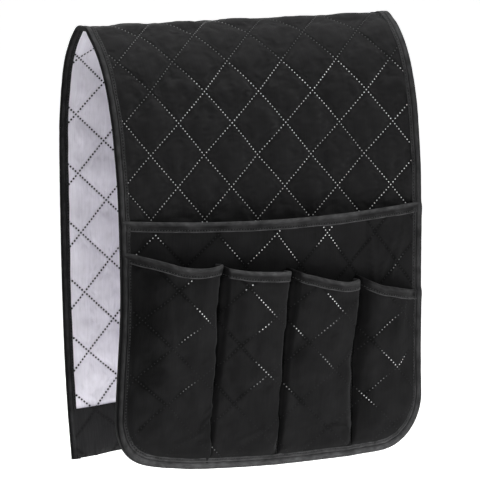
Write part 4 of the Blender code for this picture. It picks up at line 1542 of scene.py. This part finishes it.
# The runs of welds on the pockets that shine: u, v, radius, level, and whether the line falls to the right
LARGE_RUNS = (
    (-0.020, 0.228, 0.014, 1.0, 0),
    (-0.052, 0.228, 0.012, 0.7, 1),
    (0.009, 0.229, 0.012, 1.0, 1),
    (0.051, 0.212, 0.012, 0.9, 0),
    (0.051, 0.212, 0.012, 0.9, 1),
    (-0.004, 0.212, 0.009, 0.9, 1),
    (-0.004, 0.212, 0.007, 0.9, 0),
    (0.121, 0.239, 0.013, 1.0, 0),
    (0.060, 0.222, 0.010, 0.8, 1),
    (0.044, 0.220, 0.008, 0.7, 0),
    (-0.126, 0.210, 0.009, 0.8, 0),
    (-0.126, 0.210, 0.009, 0.8, 1),
    (-0.145, 0.227, 0.006, 0.6, 0),
)
SMALL_RUNS = (
    (
        (-0.084, 0.2790, 0.010, 1.1, 1),
        (-0.095, 0.2480, 0.007, 0.9, 0),
        (-0.092, 0.3040, 0.011, 0.5, 0),
        (-0.087, 0.3540, 0.011, 0.3, 0),
        (-0.152, 0.2560, 0.008, 0.8, 1),
    ),
    (
        (-0.022, 0.2730, 0.014, 1.0, 1),
        (-0.038, 0.2580, 0.006, 1.0, 0),
        (-0.020, 0.2960, 0.007, 0.9, 0),
        (-0.015, 0.3330, 0.011, 0.6, 1),
        (-0.056, 0.3960, 0.010, 0.6, 1),
        (-0.017, 0.3510, 0.010, 0.35, 0),
    ),
    (
        (0.0500, 0.2750, 0.013, 1.1, 1),
        (0.0190, 0.2970, 0.008, 1.0, 1),
        (0.0460, 0.3000, 0.012, 0.25, 0),
        (0.0500, 0.3290, 0.010, 0.35, 1),
        (0.0160, 0.3480, 0.008, 0.35, 1),
    ),
    (
        (0.0980, 0.3650, 0.012, 0.9, 1),
        (0.1150, 0.3350, 0.012, 0.7, 1),
        (0.1290, 0.3380, 0.008, 0.7, 0),
        (0.1060, 0.2990, 0.014, 0.4, 0),
        (0.1030, 0.3560, 0.010, 0.2, 0),
    ),
)
DULL_TONE = 0.0045
# Pocket welds and divider stitches stay this far clear of the tapes
POCKET_CLEAR = 0.001
LARGE_MOUTH_COLUMNS = 200
LARGE_MOUTH_ROWS = np.arange(8)[:, None] * 0.0016
DIVIDER_ROWS = 60
DIVIDER_RISE = 0.0010
LARGE_WELD_SEED = 71
SMALL_WELD_SEED = 72
LARGE_TAPE_SEED = 81
SMALL_TAPE_SEED = 82
DIVIDER_SEED = 90


def pocket_welds(name, spots, quilting, runs, seed):
    """Dull welds, apart from the given runs."""
    u, v = spots[:, 0], spots[:, 1]
    _, n = quilting.squares(u, v)
    falling = np.abs(n - np.round(n)) < 0.02
    tones = dot_tones(u, v, seed, 0.0, 2 * DULL_TONE)
    for run_u, run_v, radius, level, falls in runs:
        near = np.exp(-((np.hypot(u - run_u, v - run_v) / radius) ** 4))
        tones = tones + level * near * (falling == bool(falls))
    return merged(name, spots, DOT, np.clip(tones, 0.0, 1.0), PALE_WELD)


def make_large_pocket():
    box = (-HALF_WIDTH, HALF_WIDTH, FRONT_END - LARGE_POCKET_HEIGHT, FRONT_END)
    cloth = quilted_sheet(LARGE_QUILTING, box, clamp_panel, large_surface, 1)
    u, v = weld_places(LARGE_QUILTING, box)
    below = v > large_mouth(u) + POCKET_LAP + POCKET_CLEAR
    clear = (edge_distance(u, v) > EDGE_LAP + POCKET_CLEAR) & below
    spots = cloth.spots(zip(u[clear], v[clear]))
    pieces = {
        "large_pocket": thicken(cloth.make("large_pocket", BLACK_POCKET), PANEL_THICK),
        "large_pocket_welds": pocket_welds(
            "large_pocket_welds", spots, LARGE_QUILTING, LARGE_RUNS, LARGE_WELD_SEED
        ),
    }
    columns = np.linspace(-LARGE_REACH, LARGE_REACH, LARGE_MOUTH_COLUMNS)
    x, s = np.broadcast_arrays(columns, large_mouth(columns) + LARGE_MOUTH_ROWS)
    mouth = large_surface(x, s)
    tape = mouth_tape("large_pocket_mouth_tape", mouth, PANEL_THICK, LARGE_TAPE_SEED, LARGE_TAPE_HIGHLIGHT)
    return pieces | tape


def make_small_pocket(pocket):
    name = f"pocket_{pocket + 1}"
    points, flat, crease = small_cloth(pocket)
    cloth = grid_sheet(points, flat, crease)
    sheet = thicken(cloth.make(name, BLACK_POCKET), POCKET_THICK)
    low, high = flat.min((0, 1)), flat.max((0, 1))
    quilting = SMALL_QUILTINGS[pocket]
    spots = cloth.spots(zip(*weld_places(quilting, (low[0], high[0], low[1], high[1]))))
    u, v, x = spots[:, 0], spots[:, 1], spots[:, 2]
    below = v >= small_top(u) + SMALL_MOUTH_SAGS[pocket] + POCKET_LAP + POCKET_CLEAR
    spots = spots[below & (edge_distance(x, v) > EDGE_LAP + POCKET_CLEAR)]
    welds = pocket_welds(f"{name}_welds", spots, quilting, SMALL_RUNS[pocket], SMALL_WELD_SEED + pocket)
    highlight, dull = SMALL_TAPE_HIGHLIGHTS[pocket], SMALL_TAPE_DULLS[pocket]
    seed = SMALL_TAPE_SEED + pocket
    tape = mouth_tape(f"{name}_mouth_tape", points, POCKET_THICK, seed, highlight, dull, pocket > 0)
    return {name: sheet, welds.name: welds} | tape


def make_divider(number):
    """The sewn line between two small pockets."""
    name = f"pocket_divider_stitches_{number}"
    x = divider(number)
    s = np.linspace(small_top(x) + POCKET_LAP, FRONT_END - EDGE_LAP - POCKET_CLEAR, DIVIDER_ROWS)
    lines = [place(x + off, s, large_height(x + off, s) + DIVIDER_RISE) for off in (-0.001, 0.0, 0.001)]
    return {name: stitches(name, np.stack(lines, 1), 1, 1.0, DIVIDER_SEED + number)}


POCKET_PIECES = make_large_pocket()
for pocket in range(POCKETS):
    POCKET_PIECES |= make_small_pocket(pocket)
for number in range(1, POCKETS):
    POCKET_PIECES |= make_divider(number)

# Each flap's upper and lower body, its fold, and the way across the fold from the upper one
FOLDS = {
    "front": ("crown", "front_flap", FRONT_FOLD, FOLD_REACH),
    "rear": ("crown", "rear_flap", REAR_FOLD, -FOLD_REACH),
    "hem": ("rear_flap", "tuck_hem", HEM_FOLD, -HEM_REACH),
}


def ride_everything():
    """Each piece of the strip has its place baked into its points; the fold's ends are found but nothing
    bends. The pockets ride on the front flap.
    """
    for name, piece in {**STRIP, **EDGES}.items():
        upper, lower, fold, reach = FOLDS[name.split("_")[0]]
        start, end = (Vector(place(0.0, fold + off, 0.0)) for off in (-reach, reach))
        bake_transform(piece)
    for piece in POCKET_PIECES.values():
        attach(piece, "front_flap")


REPLACED = {
    "front_quilted_face": ("crown_face_fabric", "crown_wadding", "front_face_fabric", "front_wadding"),
    "rear_quilted_face": ("rear_face_fabric", "rear_wadding"),
    "hem_quilted_face": ("hem_face_fabric", "hem_wadding"),
    "front_inner_lining": ("crown_lining", "front_lining"),
    "rear_inner_lining": ("rear_lining",),
    "hem_inner_facing": ("hem_facing",),
    "front_edge_tape": ("front_binding", "crown_binding_left", "crown_binding_right"),
    "rear_edge_tape_left": ("rear_binding_left",),
    "rear_edge_tape_right": ("rear_binding_right",),
    "hem_edge_tape_left": ("hem_binding_left",),
    "hem_edge_tape_right": ("hem_binding_right",),
    "large_pocket": ("large_pocket_panel",),
    "large_pocket_mouth_tape": ("large_pocket_binding",),
}
for number in range(1, POCKETS + 1):
    REPLACED[f"pocket_{number}"] = (f"small_pocket_{number}",)
    REPLACED[f"pocket_{number}_mouth_tape"] = (f"small_pocket_binding_{number}",)
for number in range(1, POCKETS):
    REPLACED[f"pocket_divider_stitches_{number}"] = (f"pocket_divider_seam_{number}",)
# The first of these words in a piece's name picks one of the record's material slots; the slot is looked up
# but not given to the piece
SLOTS = {
    "stitches": "seam_thread",
    "welds": "seam_thread",
    "tape": "binding_tape",
    "lining": "lining_fabric",
    "facing": "facing_fabric",
    "pocket": "pocket_fabric",
    "face": "quilted_face_fabric",
}


def stand_for_nodes():
    pieces = {**STRIP, **EDGES, **POCKET_PIECES}
    for name, nodes in REPLACED.items():
        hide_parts(*nodes)
    for name, piece in pieces.items():
        next(slot for word, slot in SLOTS.items() if word in name)


def declare_cloth():
    """Measures the flat size and area of the large pocket and each small pocket; the sizes are not used."""
    for name in ("large_pocket", *(f"pocket_{number}" for number in range(1, POCKETS + 1))):
        size, area = flat_size(POCKET_PIECES[name].data)


def flat_size(mesh):
    """The width, length and area of a mesh on the flat cloth."""
    places = np.zeros(len(mesh.loops) * 2, np.float32)
    mesh.uv_layers["flat"].data.foreach_get("uv", places)
    corners = places.reshape(-1, 4, 2).astype(float)
    ahead = np.roll(corners, -1, 1)
    turns = corners[..., 0] * ahead[..., 1] - corners[..., 1] * ahead[..., 0]
    width, length = np.ptp(corners, axis=(0, 1))
    return (float(width), float(length)), float(np.abs(turns.sum(1)).sum() / 2)


FLOOR_HALF = 40
FLOOR_HEIGHT = -0.75
FLOOR_GREY = 0.86
FLOOR_GLOW = 0.70
WORLD_LIGHT = 0.31
# The lamps: place, aim, size and power
MIDDLE = (0.0, 0.0, -0.2)
LAMPS = {
    "key": ((2.3, -2.0, 1.1), MIDDLE, (1.5, 1.2), 46.0),
    "fill": ((-1.7, -2.0, 0.3), MIDDLE, (1.2, 1.0), 7.5),
    "top": ((0.1, 0.3, 2.2), MIDDLE, (1.6, 1.6), 125.0),
    "below": ((0.1, -0.36, -0.70), (0.0, -0.15, 0.0), (1.1, 0.9), 7.0),
}


def make_stage():
    """A wide pale floor well below the hanging cloth."""
    corners = [(FLOOR_HALF * x, FLOOR_HALF * y, 0) for x, y in ((-1, -1), (1, -1), (1, 1), (-1, 1))]
    mesh = new_mesh("floor", corners, [(0, 1, 2, 3)])
    floor = add_object("floor", mesh)
    floor.location.z = FLOOR_HEIGHT
    shader = Shader("pale_floor")
    shader.set(
        Base_Color=(FLOOR_GREY, FLOOR_GREY, FLOOR_GREY, 1.0),
        Roughness=0.9,
        Specular_IOR_Level=0.1,
        Emission_Color=(1.0, 1.0, 1.0, 1.0),
        Emission_Strength=shader.times(shader.seen(), FLOOR_GLOW),
    )
    mesh.materials.append(shader.material)


def make_world():
    """White where it is seen, and a soft light from all round."""
    world = bpy.data.worlds.new("studio")
    world.use_nodes = True
    bpy.context.scene.world = world
    nodes = Nodes(world.node_tree)
    background = nodes.tree.nodes["Background"].inputs
    background["Color"].default_value = (1.0, 1.0, 1.0, 1.0)
    nodes.feed(background["Strength"], nodes.ramp(nodes.seen(), WORLD_LIGHT, 1.0))


def make_lamps():
    for name, (stand, aim, size, power) in LAMPS.items():
        lamp = bpy.data.lights.new(name, "AREA")
        lamp.shape = "RECTANGLE"
        lamp.size, lamp.size_y = size
        lamp.energy = power
        light = add_object(name, lamp)
        light.location = stand
        light.rotation_euler = (Vector(aim) - Vector(stand)).to_track_quat("-Z", "Y").to_euler()


def make_camera():
    across = math.cos(CAMERA_ELEVATION)
    back = Vector(
        (math.sin(CAMERA_AZIMUTH) * across, -math.cos(CAMERA_AZIMUTH) * across, math.sin(CAMERA_ELEVATION))
    )
    lens = bpy.data.cameras.new("camera")
    lens.sensor_width = SENSOR_WIDTH
    lens.lens = SENSOR_WIDTH * CAMERA_DISTANCE / VIEW_WIDTH
    lens.clip_end = 200.0
    camera = add_object("camera", lens)
    camera.location = CAMERA_AIM + back * CAMERA_DISTANCE
    camera.rotation_euler = back.to_track_quat("Z", "Y").to_euler()
    bpy.context.scene.camera = camera


ride_everything()
stand_for_nodes()
declare_cloth()
make_stage()
make_world()
make_lamps()
make_camera()
bpy.context.scene.view_settings.view_transform = "Standard"
